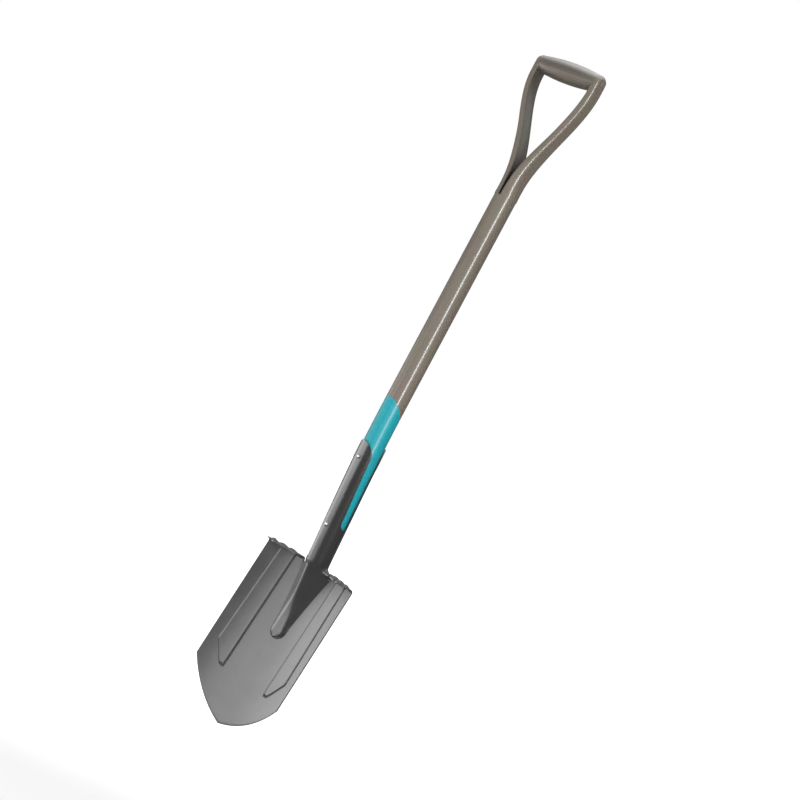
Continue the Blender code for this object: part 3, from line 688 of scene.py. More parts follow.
def lay_grain(thing, unbend):
    """Store on each point its place across and along the wood, so that the grain follows it."""
    layer = thing.data.attributes.new("grain", "FLOAT_VECTOR", "POINT")
    for point, item in zip(thing.data.vertices, layer.data):
        item.vector = unbend(point.co - HANG)


def unbend_shaft(place):
    rise = place.z - SPLIT_HEIGHT
    side = 1 if place.x >= 0 else -1
    if rise <= 0:
        return Vector((place.x, place.y - axis_back(place.z), place.z))
    return Vector((place.x - side * arm_inner(rise), place.y + arm_forward(rise), place.z))


def dip_in_paint(thing):
    """Cut the mesh along the slanting edge of the paint and paint every face below it."""
    edge = Vector((0.0, 0.0, PAINT_EDGE_HEIGHT)) + HANG
    across = Vector((0.0, PAINT_EDGE_SLOPE, 1.0)).normalized()
    body = bmesh.new()
    body.from_mesh(thing.data)
    bmesh.ops.bisect_plane(body, geom=body.verts[:] + body.edges[:] + body.faces[:],
                           dist=CUT_TOLERANCE, plane_co=edge, plane_no=across)
    for face in body.faces:
        face.material_index = int((face.calc_center_median() - edge).dot(across) < 0)
    body.to_mesh(thing.data)
    body.free()


rings, split_row = shaft_rows()
last = len(rings[0]) - 1
print("ring points:", {len(ring) for ring in rings})
shaft = new_grid("wood_shaft", [ring[::-1] for ring in rings],
                 keep=lambda r, c: r >= split_row or CORNER_STEPS <= c < last - CORNER_STEPS,
                 closed=True, caps=(0, len(rings) - 1))
add(shaft, "MIRROR", use_mirror_merge=True, merge_threshold=WELD)
settle(shaft)
lay_grain(shaft, unbend_shaft)
shaft.data.materials.append(shaft_finish)
shaft.data.materials.append(paint_finish)
dip_in_paint(shaft)
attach(shaft, "root")
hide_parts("shaft")

# %% [markdown]
# ## The grip
# A barrel turned on a lathe: thick in the palm, thinner at both ends. It follows one rule, the
# radius at each place along it, so a geometry node tree wraps a flat grid round into it. The
# two helpers that start and end such a tree serve the rivet heads as well.


# %% Helpers for shapes made by a rule
def turning_grid(tree, steps_round, steps_along):
    """A flat grid, the angle that each of its points is turned to, and its step along."""
    mesh = make(tree, "GeometryNodeMeshGrid", {
        "Size X": 1.0, "Size Y": 1.0, "Vertices X": steps_round + 1, "Vertices Y": steps_along})
    x, y, _ = split(make(tree, "GeometryNodeInputPosition"))
    return mesh, (x + 0.5) * (2 * pi), maths("ROUND", (y + 0.5) * (steps_along - 1.0))


def turned(mesh, along, radius, around, axis, weld):
    """The grid's points set round an axis, with the points that meet welded."""
    side, front = radius * maths("SINE", around), radius * maths("COSINE", around)
    places = (along, side, front) if axis == "X" else (front, side, along)
    place = make(mesh.tree, "ShaderNodeCombineXYZ", dict(enumerate(places)))
    moved = make(mesh.tree, "GeometryNodeSetPosition", {"Geometry": mesh, "Position": place})
    return make(mesh.tree, "GeometryNodeMergeByDistance", {"Geometry": moved, "Distance": weld})


def close_shape(geometry, finish):
    """Make the shape real, give it its finish and complete the tree."""
    real = make(geometry.tree, "GeometryNodeRealizeInstances", {0: geometry})
    close_group(geometry.tree, {"Geometry": make(
        geometry.tree, "GeometryNodeSetMaterial", {"Geometry": real, "Material": finish})})


def run_nodes(thing, tree, inputs):
    """Give a piece a geometry node tree with its inputs, and keep the plain result."""
    modifier = thing.modifiers.new("Rule", "NODES")
    modifier.node_group = tree
    sockets = {item.name: item.identifier for item in tree.interface.items_tree
               if item.in_out == "INPUT"}
    for title, value in inputs.items():
        modifier[sockets[title]] = value
    return settle(thing)


# %% The barrel as a geometry node tree: its last two rings at each end round and close it
ROUND, LONG = 96, 61
BARREL_CURVE = 2.0
GRIP_INTO_ARM = 0.0030
GRIP_SEAT_RADIUS = 0.0134
GRIP_EDGE_ROUND = 0.0008
GRIP_WELD = 0.000002
GEOMETRY, MATERIAL = "NodeSocketGeometry", "NodeSocketMaterial"

barrel, given = new_group(
    "turned_barrel", "GeometryNodeTree",
    [("Geometry", GEOMETRY, None), ("Half Length", FLOAT, 0.05), ("Middle Radius", FLOAT, 0.02),
     ("End Radius", FLOAT, 0.015), ("Edge Round", FLOAT, 0.001), ("Finish", MATERIAL, None)],
    [("Geometry", GEOMETRY)])
mesh, around, step = turning_grid(barrel, ROUND, LONG)
share = clamp((step - 2.0) / (LONG - 5.0))
along = (share * 2.0 - 1.0) * (given["Half Length"] - given["Edge Round"])
off_middle = along / given["Half Length"]
bulge = given["Middle Radius"] - given["End Radius"]
radius = given["Middle Radius"] - bulge * abs(off_middle) ** BARREL_CURVE
beyond = abs(step - (LONG - 1) / 2) - (LONG - 5) / 2
rounded = clamp(beyond) * given["Edge Round"]
radius = (radius - rounded) * (1.0 - clamp(beyond - 1.0))
along = along + maths("SIGN", off_middle) * rounded
close_shape(turned(mesh, along, radius, around, "X", GRIP_WELD), given["Finish"])

# %% The grip
grip = run_nodes(new_object("wood_grip"), barrel,
                 {"Half Length": ARM_SPREAD + GRIP_INTO_ARM, "Middle Radius": GRIP_MIDDLE_RADIUS,
                  "End Radius": GRIP_SEAT_RADIUS, "Edge Round": GRIP_EDGE_ROUND,
                  "Finish": grip_finish})
grip_middle = Vector((0.0, -ARM_FORWARD, SPLIT_HEIGHT + GRIP_HEIGHT))
grip.data.transform(Matrix.Translation(grip_middle + HANG))
lay_grain(grip, lambda place: Vector((place.y, place.z, place.x)))
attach(grip, "root")
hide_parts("grip")


# %% [markdown]
# ## The socket straps
# Two strips of sheet are pressed half round, riveted on both sides of the shaft, and welded
# shut below the slit. Under the socket the front strap opens into a tongue with a ridge down
# the blade, and the back strap into a shorter tail. Each is drawn as its inner surface, which
# a Solidify thickens outwards and a Bevel softens at its edges. The tongue's edges are sunk
# into the blade's sheet as far as a weld would close them, and its ridge sags a little.


# %% Shape of the blade's dish, which the straps follow
def blade_down(height):
    return -height / cos(BLADE_LEAN)


def dish(across, down):
    depth = mix(BLADE_DISH_TOP, BLADE_DISH_LOW, down / BLADE_SIDE_LENGTH)
    return depth * (across / BLADE_HALF_WIDTH) ** 2


def blade_point(across, down, forward):
    out = forward + dish(across, down)
    back = axis_back(0.0) + BLADE_SETBACK
    return Vector((across, back - down * sin(BLADE_LEAN) - out * cos(BLADE_LEAN),
                   out * sin(BLADE_LEAN) - down * cos(BLADE_LEAN)))


# %% Rows of a strap
STRAP_STEPS = 48
CROWN_ROWS, STRAIGHT_ROWS, SLIT_ROWS, SEAM_ROWS = 16, 14, 10, 12
FLARE_ROWS, TONGUE_ROWS, END_ROWS = 16, 28, 16
CROWN_START = 0.006
CROWN_CROWDING = 2.2
EDGE_SINK = 0.0019
END_SINK = 0.0006
EDGE_POWER = 9.0


def strap_inner_radius(height):
    return shaft_radius(max(height, SHAFT_TIP_HEIGHT)) + CLEARANCE


def socket_point(height, angle):
    radius = strap_inner_radius(height)
    return Vector((radius * sin(angle), axis_back(height) - radius * cos(angle), height))


def strap_half_angle(height, strap):
    """How far round the shaft a strap reaches: to the seam below the slit, less far above it."""
    radius = strap_inner_radius(height)
    seam = pi / 2 + SEAM_TURN_ANGLE * ease((SEAM_TURN_HEIGHT - height) / SEAM_TURN_HEIGHT)
    closed = (seam if strap.side > 0 else pi - seam) - CLEARANCE / 2 / radius
    if height <= SLIT_END_HEIGHT:
        return closed
    up = (height - SLIT_END_HEIGHT) / (strap.height - SLIT_END_HEIGHT)
    slit_round = (pi / 2 - strap.low_angle) * radius
    into_slit = min(1.0, (height - SLIT_END_HEIGHT) / slit_round)
    half = mix(closed, mix(strap.low_angle, strap.top_angle, up), sqrt(1 - (1 - into_slit) ** 2))
    squared = 1 - (1 - min(1.0, (strap.height - height) / strap.top_round)) ** strap.squareness
    return half * squared ** (1 / strap.squareness)


def strap_slant(height, strap):
    """How far a strap's top runs down to the right. It fades out below the top."""
    start = strap.height - STRAP_SLANT_LENGTH
    return strap.slant * ease((height - start) / (STRAP_SLANT_LENGTH - strap.top_round))


def strap_heights(strap):
    crown = [strap.height - strap.top_round * mix(CROWN_START, 1.0, share ** CROWN_CROWDING)
             for share in spread(0, 1, CROWN_ROWS)]
    slit_round = (pi / 2 - strap.low_angle) * strap_inner_radius(SLIT_END_HEIGHT)
    slit = [SLIT_END_HEIGHT + slit_round * (1 - cos(radians(a))) for a in spread(90, 0, SLIT_ROWS)]
    straight = spread(strap.height - strap.top_round, SLIT_END_HEIGHT + slit_round, STRAIGHT_ROWS)
    seam = spread(SLIT_END_HEIGHT, FLARE_TOP_HEIGHT, SEAM_ROWS)
    return crown + straight[1:-1] + slit + seam[1:]


def roof(share, power, rounding):
    """Height share of a ridge with a rounded top, from 1 in its middle to 0 at its edges."""
    curve = sqrt(share * share + rounding * rounding) - rounding
    return 1 - (curve / (sqrt(1 + rounding * rounding) - rounding)) ** power


def tongue_width(down, strap):
    end = strap.end_half_width
    centre = strap.length - end
    if down > centre:
        return sqrt(max(0.0, end * end - (down - centre) ** 2))
    return mix(strap.half_width, end, 1 - (1 - max(0.0, down) / centre) ** TONGUE_CURVE)


def tongue_row(down, strap):
    end, half = strap.end_half_width, tongue_width(down, strap)
    at_top = socket_point(0.0, strap.middle).y - (axis_back(0.0) + BLADE_SETBACK)
    top_rise = abs(at_top) - BLADE_THICKNESS / 2 - CLEARANCE
    rise = mix(top_rise, strap.end_rise - STRAP_THICKNESS, down / strap.length)
    rise -= strap.sag * sin(pi * limit(down / strap.length))
    power = mix(RIDGE_POWER_TOP, RIDGE_POWER_END, ease(down / strap.length) ** 3)
    rounding = mix(RIDGE_ROUND_TOP, RIDGE_ROUND_END, ease(2 * down / strap.length))
    lift = BLADE_THICKNESS / 2 + CLEARANCE
    sink = mix(EDGE_SINK, END_SINK, ease((down - strap.length + 2 * end) / end))

    row = []
    for share in spread(-1, 1, STRAP_STEPS):
        ahead = lift - sink * abs(share) ** EDGE_POWER + rise * roof(share, power, rounding)
        row.append(blade_point(half * share, down, strap.side * ahead))
    return row


def socket_row(height, strap):
    half, slant = strap_half_angle(height, strap), strap_slant(height, strap)
    return [socket_point(height - slant * sin(a), strap.middle + strap.side * a)
            for a in spread(-half, half, STRAP_STEPS)]


def strap_rows(strap):
    rows = [socket_row(height, strap) for height in strap_heights(strap)]
    for height in spread(FLARE_TOP_HEIGHT, FLARE_END_HEIGHT, FLARE_ROWS)[1:]:
        share = ease((FLARE_TOP_HEIGHT - height) / (FLARE_TOP_HEIGHT - FLARE_END_HEIGHT))
        over = tongue_row(blade_down(height), strap)
        rows.append([mix(a, b, share) for a, b in zip(socket_row(height, strap), over)])
    end = strap.end_half_width
    downs = spread(blade_down(FLARE_END_HEIGHT), strap.length - end, TONGUE_ROWS)[1:]
    downs += [strap.length - end + end * sin(radians(a)) for a in spread(5, 86, END_ROWS)]
    rows += [tongue_row(down, strap) for down in downs]
    return rows if strap.side > 0 else [row[::-1] for row in rows]


# %% Both straps
def make_strap(name, strap, cad_node):
    thing = new_grid(name, strap_rows(strap))
    add(thing, "SOLIDIFY", thickness=STRAP_THICKNESS, offset=1.0, use_even_offset=True)
    add(thing, "BEVEL", width=STRAP_EDGE_ROUND, segments=4, limit_method="ANGLE",
        angle_limit=HARD_EDGE, use_clamp_overlap=True)
    settle(thing)
    thing.data.materials.append(strap_steel)
    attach(thing, "root")
    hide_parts(cad_node)
    return thing


front_strap = make_strap("steel_front_strap", FRONT_STRAP, "front_strap")
back_strap = make_strap("steel_back_strap", BACK_STRAP, "back_strap")


# %% [markdown]
# ## The blade
# One sheet: dished across, leaning forward, pointed below, with a raised rib down each side
# and a tread folded forward on each side of the socket. The sheet is drawn smooth, for the
# right half only. Then one geometry node tree presses what repeats into it: the rib, and the
# three ridges of the tread. A Mirror adds the left half, and a Solidify the thickness. The
# rib's edges have lanes of points close on both sides, so that they stay crisp, and the two
# lanes just behind the inner edge stand higher by a hair: the finish paints a thin dark line
# of shade there.


# %% Lines of the blade's grid
MIDDLE_LANES, SHEET_LANES, EDGE_LANES, FIELD_LANES, RIM_LANES = 14, 6, 7, 8, 20
TREAD_ROWS, FOLD_ROWS, SIDE_ROWS, CORNER_ROWS, FADE_ROWS, POINT_ROWS = 16, 9, 28, 10, 8, 16
RIDGE_BACK = 0.06
RIDGE_START = sin(pi * RIDGE_BACK)
RIDGE_ARCH = 0.7
RIB_FADE = 1.4


def rib_outer(down):
    corner = BLADE_SIDE_LENGTH - RIB_CORNER_UP
    tip = BLADE_SIDE_LENGTH - RIB_TIP_UP
    if down <= corner:
        return mix(RIB_OUTER_TOP, RIB_OUTER_LOW, down / corner)
    to_tip = min(1.0, (down - corner) / (tip - corner))
    return mix(RIB_OUTER_LOW, RIB_INNER + RIB_TIP_WIDTH, to_tip)


def blade_lanes(down):
    """Places across the blade that follow the rib, and the rib's height share at each."""
    edge, outer_edge = RIB_INNER_EDGE / 2, RIB_OUTER_EDGE / 2
    outer = rib_outer(down)
    rise = [ease(share) for share in spread(0, 1, EDGE_LANES)]
    sheet = spread(NOTCH_HALF_WIDTH, RIB_INNER - edge - RIB_HOLD, SHEET_LANES)
    field = spread(RIB_INNER + edge + RIB_SHADE_WIDTH + RIB_HOLD, outer - outer_edge - RIB_HOLD,
                   FIELD_LANES)
    rim = spread(outer + outer_edge + RIB_HOLD, BLADE_HALF_WIDTH, RIM_LANES)
    lanes = [(x, 0.0) for x in sheet]
    lanes += zip(spread(RIB_INNER - edge, RIB_INNER + edge, EDGE_LANES), rise)
    lanes += [(RIB_INNER + edge + step, RIB_SHADE_LEVEL) for step in (RIB_HOLD, RIB_SHADE_WIDTH)]
    lanes += [(x, 1.0) for x in field]
    lanes += zip(spread(outer - outer_edge, outer + outer_edge, EDGE_LANES), rise[::-1])
    return lanes + [(x, 0.0) for x in rim]


def tread_depth(across):
    share = (across - TREAD_CHAMFER_START) / (BLADE_HALF_WIDTH - TREAD_CHAMFER_START)
    return mix(TREAD_DEPTH, TREAD_END_DEPTH, limit(share))


def tread_fold(across):
    up = Vector((0.0, sin(BLADE_LEAN), cos(BLADE_LEAN)))
    ahead = Vector((0.0, -cos(BLADE_LEAN), sin(BLADE_LEAN)))
    base = blade_point(across, 0.0, 0.0)
    level = TREAD_HEIGHT + base.y * tan(TREAD_DROP) - base.z
    rise = level / (up.z - up.y * tan(TREAD_DROP))
    turn = pi / 2 + BLADE_LEAN + TREAD_DROP
    tangent = TREAD_BEND_RADIUS * tan(turn / 2)
    return base + up * (rise - tangent), up, ahead, turn, tangent


def fold_point(across, share):
    start, up, ahead, turn, _ = tread_fold(across)
    angle = turn * share
    return start + (up * sin(angle) + ahead * (1 - cos(angle))) * TREAD_BEND_RADIUS


def tread_point(across, share):
    reach = (tread_depth(across) - tread_fold(across)[4]) * share
    out = Vector((0.0, -cos(TREAD_DROP), -sin(TREAD_DROP)))
    return fold_point(across, 1.0) + out * reach


def point_line(across):
    shoulder = Vector((BLADE_HALF_WIDTH, BLADE_SIDE_LENGTH))
    tip = Vector((0.0, BLADE_LENGTH))
    chord = shoulder - tip
    inward = Vector((chord.y, -chord.x)).normalized()
    reach = sqrt(BLADE_POINT_RADIUS ** 2 - chord.length_squared / 4)
    centre = mix(tip, shoulder, 0.5) + inward * reach
    return centre.y + sqrt(BLADE_POINT_RADIUS ** 2 - (across - centre.x) ** 2)


# %% Rows of the blade, with a mask for the ribs and one for the treads
def blade_rows():
    middle = spread(0.0, NOTCH_HALF_WIDTH, MIDDLE_LANES)[:-1]
    lanes = blade_lanes(0.0)
    even = spread(NOTCH_HALF_WIDTH, BLADE_HALF_WIDTH, len(lanes) - 1)
    rows, rib_rows, tread_rows = [], [], []

    def keep_row(row, ribs, treads):
        short = len(middle) + len(lanes) - len(row)
        rows.append([None] * short + row)
        rib_rows.append([0.0] * short + ribs)
        tread_rows.append([0.0] * short + treads)

    none = [0.0] * len(lanes)
    start = RIDGE_START ** RIDGE_ARCH
    for share in spread(1.0, 0.0, TREAD_ROWS):
        arch = max(0.0, sin(pi * mix(RIDGE_BACK, 1.0, share))) ** RIDGE_ARCH
        keep_row([tread_point(x, share) for x in even], none, [arch] * len(even))
    for share in spread(1.0, 0.0, FOLD_ROWS)[1:]:
        across = [mix(low[0], high, share) for low, high in zip(lanes, even)]
        fade = ease(1 - RIB_FADE * share)
        keep_row([fold_point(x, share) for x in across], [h * fade for _, h in lanes],
                 [start * ease(share * 2 - 1)] * len(even))
    first_full = len(rows)
    corner = BLADE_SIDE_LENGTH - RIB_CORNER_UP
    tip = BLADE_SIDE_LENGTH - RIB_TIP_UP
    fade_start = tip - 2 * RIB_EDGE
    downs = spread(NOTCH_DOWN, corner, SIDE_ROWS) + spread(corner, fade_start, CORNER_ROWS)[1:]
    for down in downs + spread(fade_start, tip, FADE_ROWS)[1:]:
        strength = ease((tip - down) / (tip - fade_start))
        full = [(x, 0.0) for x in middle] + blade_lanes(down)
        keep_row([blade_point(x, down, 0.0) for x, _ in full], [h * strength for _, h in full],
                 [0.0] * len(full))
    across = middle + [x for x, _ in blade_lanes(tip)]
    for share in spread(0, 1, POINT_ROWS)[1:]:
        row = [blade_point(x, mix(tip, point_line(x), share), 0.0) for x in across]
        keep_row(row, [0.0] * len(row), [0.0] * len(row))
    return rows, rib_rows, tread_rows, first_full, len(middle)


# %% The pressing as a geometry node tree
press, given = new_group(
    "pressed_ribs_and_ridges", "GeometryNodeTree",
    [("Geometry", GEOMETRY, None), ("Rib Height", FLOAT, 0.002), ("Ridge Height", FLOAT, 0.002),
     ("Ridge Width", FLOAT, 0.0085), ("First Ridge", FLOAT, 0.05),
     ("Ridge Pitch", FLOAT, 0.0175), ("Ridge Count", FLOAT, 3.0),
     ("Rib Direction", VECTOR, None), ("Ridge Direction", VECTOR, None),
     ("Finish", MATERIAL, None)],
    [("Geometry", GEOMETRY)])
across = abs(split(make(press, "GeometryNodeInputPosition"))[0])
from_first = across - given["First Ridge"]
nearest = maths("MAXIMUM", maths("ROUND", from_first / given["Ridge Pitch"]), 0.0)
nearest = maths("MINIMUM", nearest, given["Ridge Count"] - 1.0)
off = (from_first - nearest * given["Ridge Pitch"]) / (given["Ridge Width"] * 0.5)
crest = maths("MAXIMUM", maths("COSINE", off * (pi / 2)), 0.0) ** RIDGE_CREST
within = maths("LESS_THAN", abs(off), 1.0)
tread, rib = (make(press, "GeometryNodeInputNamedAttribute", {"Name": title}, data_type="FLOAT")
              for title in ("tread", "rib"))
ridge_push = vector_maths("SCALE", given["Ridge Direction"],
                          {"Scale": crest * within * tread * given["Ridge Height"]})
rib_push = vector_maths("SCALE", given["Rib Direction"], {"Scale": rib * given["Rib Height"]})
push = vector_maths("ADD", ridge_push, {1: rib_push})
close_shape(make(press, "GeometryNodeSetPosition", {"Geometry": given["Geometry"], "Offset": push}),
            given["Finish"])

# %% The blade
rows, rib_rows, tread_rows, first_full, inner_lanes = blade_rows()
blade = new_grid("steel_blade", rows, keep=lambda r, c: r >= first_full or c >= inner_lanes,
                 values={"rib": rib_rows, "tread": tread_rows})
blade = run_nodes(blade, press, {
    "Rib Height": RIB_HEIGHT, "Ridge Height": RIDGE_HEIGHT, "Ridge Width": RIDGE_WIDTH,
    "First Ridge": RIDGE_FIRST, "Ridge Pitch": RIDGE_PITCH, "Ridge Count": float(RIDGE_COUNT),
    "Rib Direction": (0.0, -cos(BLADE_LEAN), sin(BLADE_LEAN)),
    "Ridge Direction": (0.0, -sin(TREAD_DROP), cos(TREAD_DROP)), "Finish": steel})
add(blade, "MIRROR", use_mirror_merge=True, merge_threshold=WELD)
add(blade, "SOLIDIFY", thickness=BLADE_THICKNESS, offset=0.0, use_even_offset=True)
add(blade, "BEVEL", width=BLADE_EDGE_ROUND, segments=2, limit_method="ANGLE",
    angle_limit=HARD_EDGE, use_clamp_overlap=True)
settle(blade)
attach(blade, "root")
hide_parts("blade")

# %% [markdown]
# ## Rivets
# A rivet head is a low dome with a small flat lip, hammered down on each side. One geometry
# node tree sets the same head at every seat that it is given, turned to face outwards.

# %% Rivet heads as a geometry node tree: rings for the dome, then its lip and its flat back
HEAD_ROUND, HEAD_RINGS = 36, 13
HEAD_WELD = 0.000001

heads, given = new_group(
    "rivet_heads", "GeometryNodeTree",
    [("Geometry", GEOMETRY, None), ("Head Radius", FLOAT, 0.004), ("Head Height", FLOAT, 0.002),
     ("Lip", FLOAT, 0.0004), ("Finish", MATERIAL, None)],
    [("Geometry", GEOMETRY)])
mesh, around, ring = turning_grid(heads, HEAD_ROUND, HEAD_RINGS + 3)
over = clamp(ring / float(HEAD_RINGS)) * (pi / 2)
below = clamp(ring - float(HEAD_RINGS))
closed = clamp(ring - (HEAD_RINGS + 1.0))
radius = given["Head Radius"] * maths("SINE", over) * (1.0 - closed)
dome = (given["Head Height"] - given["Lip"]) * maths("COSINE", over)
height = dome + given["Lip"] * (1.0 - below)
head = turned(mesh, height, radius, around, "Z", HEAD_WELD)
facing = make(heads, "GeometryNodeInputNamedAttribute", {"Name": "facing"},
              data_type="FLOAT_VECTOR")
aim = make(heads, "FunctionNodeAlignRotationToVector", {"Vector": facing}, axis="Z")
close_shape(make(heads, "GeometryNodeInstanceOnPoints",
                 {"Points": given["Geometry"], "Instance": head, "Rotation": aim}), given["Finish"])


# %% Every rivet
def make_heads(name, seats, radius, height, lip, finish, nodes):
    """Rivet heads at the given seats, each a place and an outward direction."""
    thing = new_object(name, [place + HANG for place, _ in seats])
    layer = thing.data.attributes.new("facing", "FLOAT_VECTOR", "POINT")
    for item, (_, way) in zip(layer.data, seats):
        item.vector = way
    run_nodes(thing, heads, {"Head Radius": radius, "Head Height": height, "Lip": lip,
                             "Finish": finish})
    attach(thing, "root")
    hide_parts(*nodes)
    return thing


def both_sides(middle, way, reach):
    """The two seats of a rivet that runs both ways from its middle."""
    return [(middle + way * reach, way), (middle - way * reach, -way)]


socket_seats = []
upper = FRONT_STRAP.height - SOCKET_RIVET_DROP
for height in (upper, upper - SOCKET_RIVET_SPACING):
    tilt = atan(axis_slope(height))
    socket_seats += both_sides(Vector((0.0, axis_back(height), height)),
                               Vector((0.0, -cos(tilt), -sin(tilt))),
                               strap_inner_radius(height) + STRAP_THICKNESS)
make_heads("socket_rivet_heads", socket_seats, SOCKET_HEAD_RADIUS, SOCKET_HEAD_HEIGHT,
           SOCKET_HEAD_LIP, bright, ("socket_rivet_upper", "socket_rivet_lower"))

right = Vector((1.0, 0.0, 0.0))
throat = Vector((0.0, 0.0, SPLIT_HEIGHT - THROAT_RIVET_DROP))
make_heads("throat_rivet_heads", both_sides(throat, right, SHAFT_RADIUS),
           THROAT_HEAD_RADIUS, THROAT_HEAD_HEIGHT, WOOD_HEAD_LIP, dulled, ("throat_rivet",))
make_heads("grip_rod_heads", both_sides(grip_middle, right, ARM_SPREAD + ARM_THICKNESS),
           GRIP_ROD_HEAD_RADIUS, GRIP_ROD_HEAD_HEIGHT, WOOD_HEAD_LIP, dulled, ("grip_rod",))

# %% [markdown]
# ## Floor, light and camera
# The tool hangs from its grip in a white room. The matt part of every finish is lit by a soft
# lamp in front, a weak one behind and the room itself. The gloss is lit apart from it: a
# photographer would set cards and strips where each surface mirrors them, so here each card is
# a lamp that only the gloss sees. Two cards to the left make the broad light areas of the
# blade, a strip to the right makes the thin bright line down the varnish, and cards that light
# only the varnished or only the steel pieces keep the two apart. All lamps are hidden from the
# camera. White for the camera comes from the room's own colour, not from more light.

# %% White room
AIM = Vector((0.0027, 0.0063, -0.5554))
FLOOR_DROP = 0.45
FLOOR_REACH = 14.0
WORLD_LEVEL = 0.50
WHITE = (1.0, 1.0, 1.0, 1.0)


def seen_directly(tree):
    """1 for rays from the camera and those it sends on by gloss or glass, and otherwise 0."""
    rays = new_node(tree, "ShaderNodeLightPath").outputs
    onward = maths("MAXIMUM", Term(rays["Is Glossy Ray"]), Term(rays["Is Transmission Ray"]))
    return maths("MAXIMUM", Term(rays["Is Camera Ray"]), onward)


world = bpy.data.worlds.new("white_room")
bpy.context.scene.world = world
world.use_nodes = True
background = world.node_tree.nodes["Background"].inputs
feed(background["Color"], WHITE)
feed(background["Strength"], ramp(seen_directly(world.node_tree), 0.0, 1.0, WORLD_LEVEL, 1.0))
print("room light:", WORLD_LEVEL)


def add_plain(name, points, faces):
    """A plain mesh for the room, which is not part of the tool."""
    thing = new_object(name, points, faces)
    material, tree = new_material(name)
    thing.data.materials.append(material)
    return thing, tree


# %% Floor: white to the eye further out, and near the tool pale enough to keep its shadow
FLOOR_NEAR, FLOOR_FAR = 0.9, 1.7
FLOOR_GLOW_NEAR, FLOOR_GLOW_FAR = 0.40, 1.0
FLOOR_COLOUR = (0.86, 0.86, 0.86, 1.0)
FLOOR_ROUGHNESS = 0.9

floor_level = cad_low.z - FLOOR_DROP
corners = [(x * FLOOR_REACH, y * FLOOR_REACH, floor_level)
           for x, y in ((-1, -1), (1, -1), (1, 1), (-1, 1))]
_, tree = add_plain("pale_floor", corners, [(0, 1, 2, 3)])
dress(tree, {"Base Color": FLOOR_COLOUR, "Roughness": FLOOR_ROUGHNESS})
spot = make(tree, "ShaderNodeTexCoord", None, "Object")
flat = vector_maths("MULTIPLY", spot, {1: (1.0, 1.0, 0.0)})
away = vector_maths("LENGTH", flat, {}, "Value")
glow = ramp(away, FLOOR_NEAR, FLOOR_FAR, FLOOR_GLOW_NEAR, FLOOR_GLOW_FAR, "SMOOTHSTEP")
glow = make(tree, "ShaderNodeEmission", {"Color": WHITE, "Strength": glow * seen_directly(tree)})
lit = Term(tree.nodes["Principled BSDF"].outputs[0])
both = make(tree, "ShaderNodeAddShader", {0: lit, 1: glow})
feed(tree.nodes["Material Output"].inputs["Surface"], both)
print("floor level:", round(floor_level, 3))


# %% Lamps
def from_side(azimuth, elevation):
    """Direction towards a place round the tool: azimuth 0 is in front and 90 is at +X."""
    a, e = radians(azimuth), radians(elevation)
    return Vector((sin(a) * cos(e), -cos(a) * cos(e), sin(e)))


def add_lamp(name, azimuth, elevation, distance, size, brightness, lift, matt, gloss):
    """A rectangular lamp aimed at the tool; brightness 1 looks as bright as a white wall."""
    lamp = bpy.data.lights.new(name, "AREA")
    lamp.shape = "RECTANGLE"
    lamp.size, lamp.size_y = size
    lamp.energy = brightness * pi * size[0] * size[1]
    thing = bpy.data.objects.new(name, lamp)
    way = from_side(azimuth, elevation)
    thing.location = AIM + way * distance + Vector((0.0, 0.0, lift))
    thing.rotation_mode = "QUATERNION"
    thing.rotation_quaternion = way.to_track_quat("Z", "Y")
    thing.visible_camera = False
    thing.visible_diffuse, thing.visible_glossy = matt, gloss
    bpy.context.scene.collection.objects.link(thing)
    return thing


# Each row: azimuth, elevation, distance, width and height, brightness, lift, and whether the
# matt part and the gloss see it. The left cards are placed by the way each facet of the steel
# faces, the strips by where the bright line runs on the round wood.
LAMPS = {
    "front_fill": (30, 8, 2.6, (1.6, 2.0), 3.3, 0.0, True, False),
    "soft_back": (190, 25, 3.0, (2.0, 2.0), 0.35, 0.0, True, False),
    "card_behind_left": (-112, 0, 2.2, (1.00, 0.50), 3.6, -0.76, False, True),
    "card_far_left": (-73.5, 0, 2.2, (1.31, 1.10), 3.1, -0.405, False, True),
    "card_left": (-32.5, 0, 2.2, (2.00, 0.90), 2.5, -0.305, False, True),
    "strip_right": (60, 0, 2.4, (0.16, 1.19), 14.0, 0.41, True, True),
    "strip_for_varnish": (60, 0, 2.4, (0.22, 2.15), 58.0, 0.08, False, True),
    "card_above": (39, 89, 2.0, (2.4, 2.4), 3.2, 0.0, False, True),
    "card_below": (39, -60, 1.1, (1.2, 0.8), 6.0, 0.0, False, True),
}


def collect(name, pieces):
    """A collection of the pieces that a lamp lights, or that shade it."""
    group = bpy.data.collections.new(name)
    for piece in pieces:
        group.objects.link(piece)
    return group


lamps = {name: add_lamp(name, *row) for name, row in LAMPS.items()}
varnished = collect("varnished_pieces", (shaft, grip))
for name in ("strip_for_varnish", "card_above", "card_below"):
    lamps[name].light_linking.receiver_collection = varnished
flank = lamps["card_behind_left"].light_linking
flank.receiver_collection = collect("pressed_steel", (blade, front_strap, back_strap))
flank.blocker_collection = varnished
print("lamps:", list(lamps))

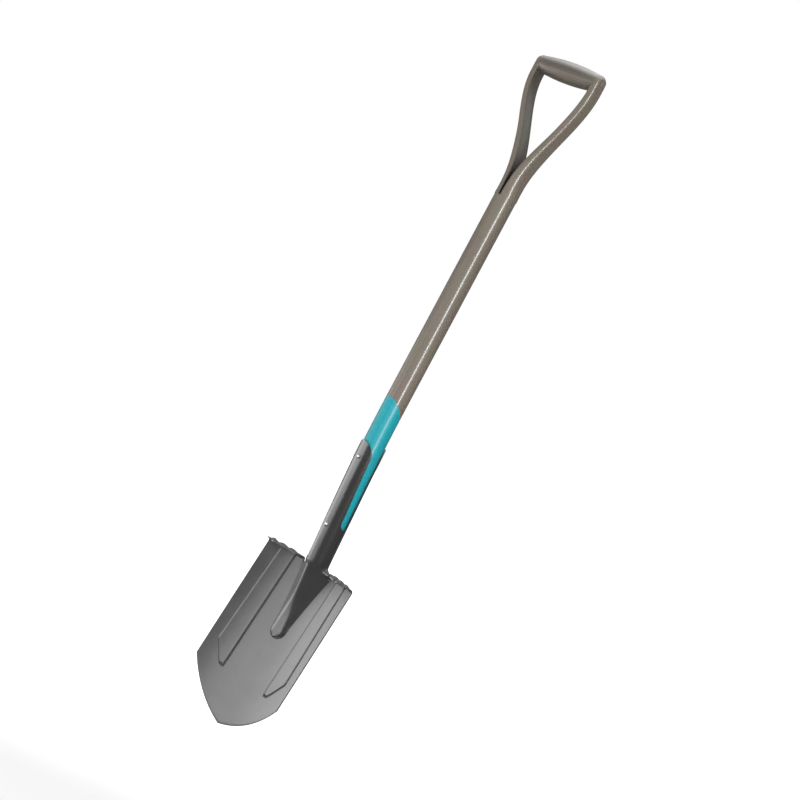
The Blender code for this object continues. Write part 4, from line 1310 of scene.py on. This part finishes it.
# %% [markdown]
# A dark screen stands all round behind the cards and lies over the floor, away from the tool.
# Only the gloss sees it. It keeps the satin steel from mirroring the white room, as a black
# cloth does in a studio, so the flanks that turn away from the cards stay dark.

# %% Dark screen all round and over the floor, which only the gloss sees
SCREEN_STEPS = 60
SCREEN_RADIUS = 3.6
SCREEN_INNER = 0.4
SCREEN_OVER_FLOOR = 0.01
SCREEN_TOP = 1.7
SCREEN_LEVEL = 0.20

turns = [from_side(angle, 0) for angle in spread(0, 360, SCREEN_STEPS)]
inner = [AIM + way * SCREEN_INNER for way in turns]
outer = [AIM + way * SCREEN_RADIUS for way in turns]
points = [(p.x, p.y, floor_level + SCREEN_OVER_FLOOR) for p in inner + outer]
points += [(p.x, p.y, SCREEN_TOP) for p in outer]
count = SCREEN_STEPS + 1
screen, tree = add_plain("dark_screen", points,
                         [(k, k + 1, count + k + 1, count + k)
                          for row in (0, count) for k in range(row, row + SCREEN_STEPS)])
dark = make(tree, "ShaderNodeEmission", {"Color": WHITE, "Strength": SCREEN_LEVEL})
feed(tree.nodes["Material Output"].inputs["Surface"], dark)
screen.visible_camera = False
screen.visible_diffuse = False
screen.visible_shadow = False
print("screen faces:", len(screen.data.polygons))

# %% Camera
CAMERA_AZIMUTH = 39.32
CAMERA_ELEVATION = 0.722
CAMERA_ROLL = 28.144
CAMERA_DISTANCE = 3.0018
CAMERA_LENS = 86.473
SENSOR_WIDTH = 36.0

camera_data = bpy.data.cameras.new("photo_camera")
camera_data.sensor_width = SENSOR_WIDTH
camera_data.lens = CAMERA_LENS
camera = bpy.data.objects.new("photo_camera", camera_data)
bpy.context.scene.collection.objects.link(camera)
turn = (Matrix.Rotation(radians(CAMERA_AZIMUTH), 4, "Z")
        @ Matrix.Rotation(radians(90 - CAMERA_ELEVATION), 4, "X")
        @ Matrix.Rotation(radians(CAMERA_ROLL), 4, "Z"))
camera.matrix_world = Matrix.Translation(
    AIM + from_side(CAMERA_AZIMUTH, CAMERA_ELEVATION) * CAMERA_DISTANCE) @ turn
bpy.context.scene.camera = camera
bpy.context.scene.view_settings.view_transform = "Standard"
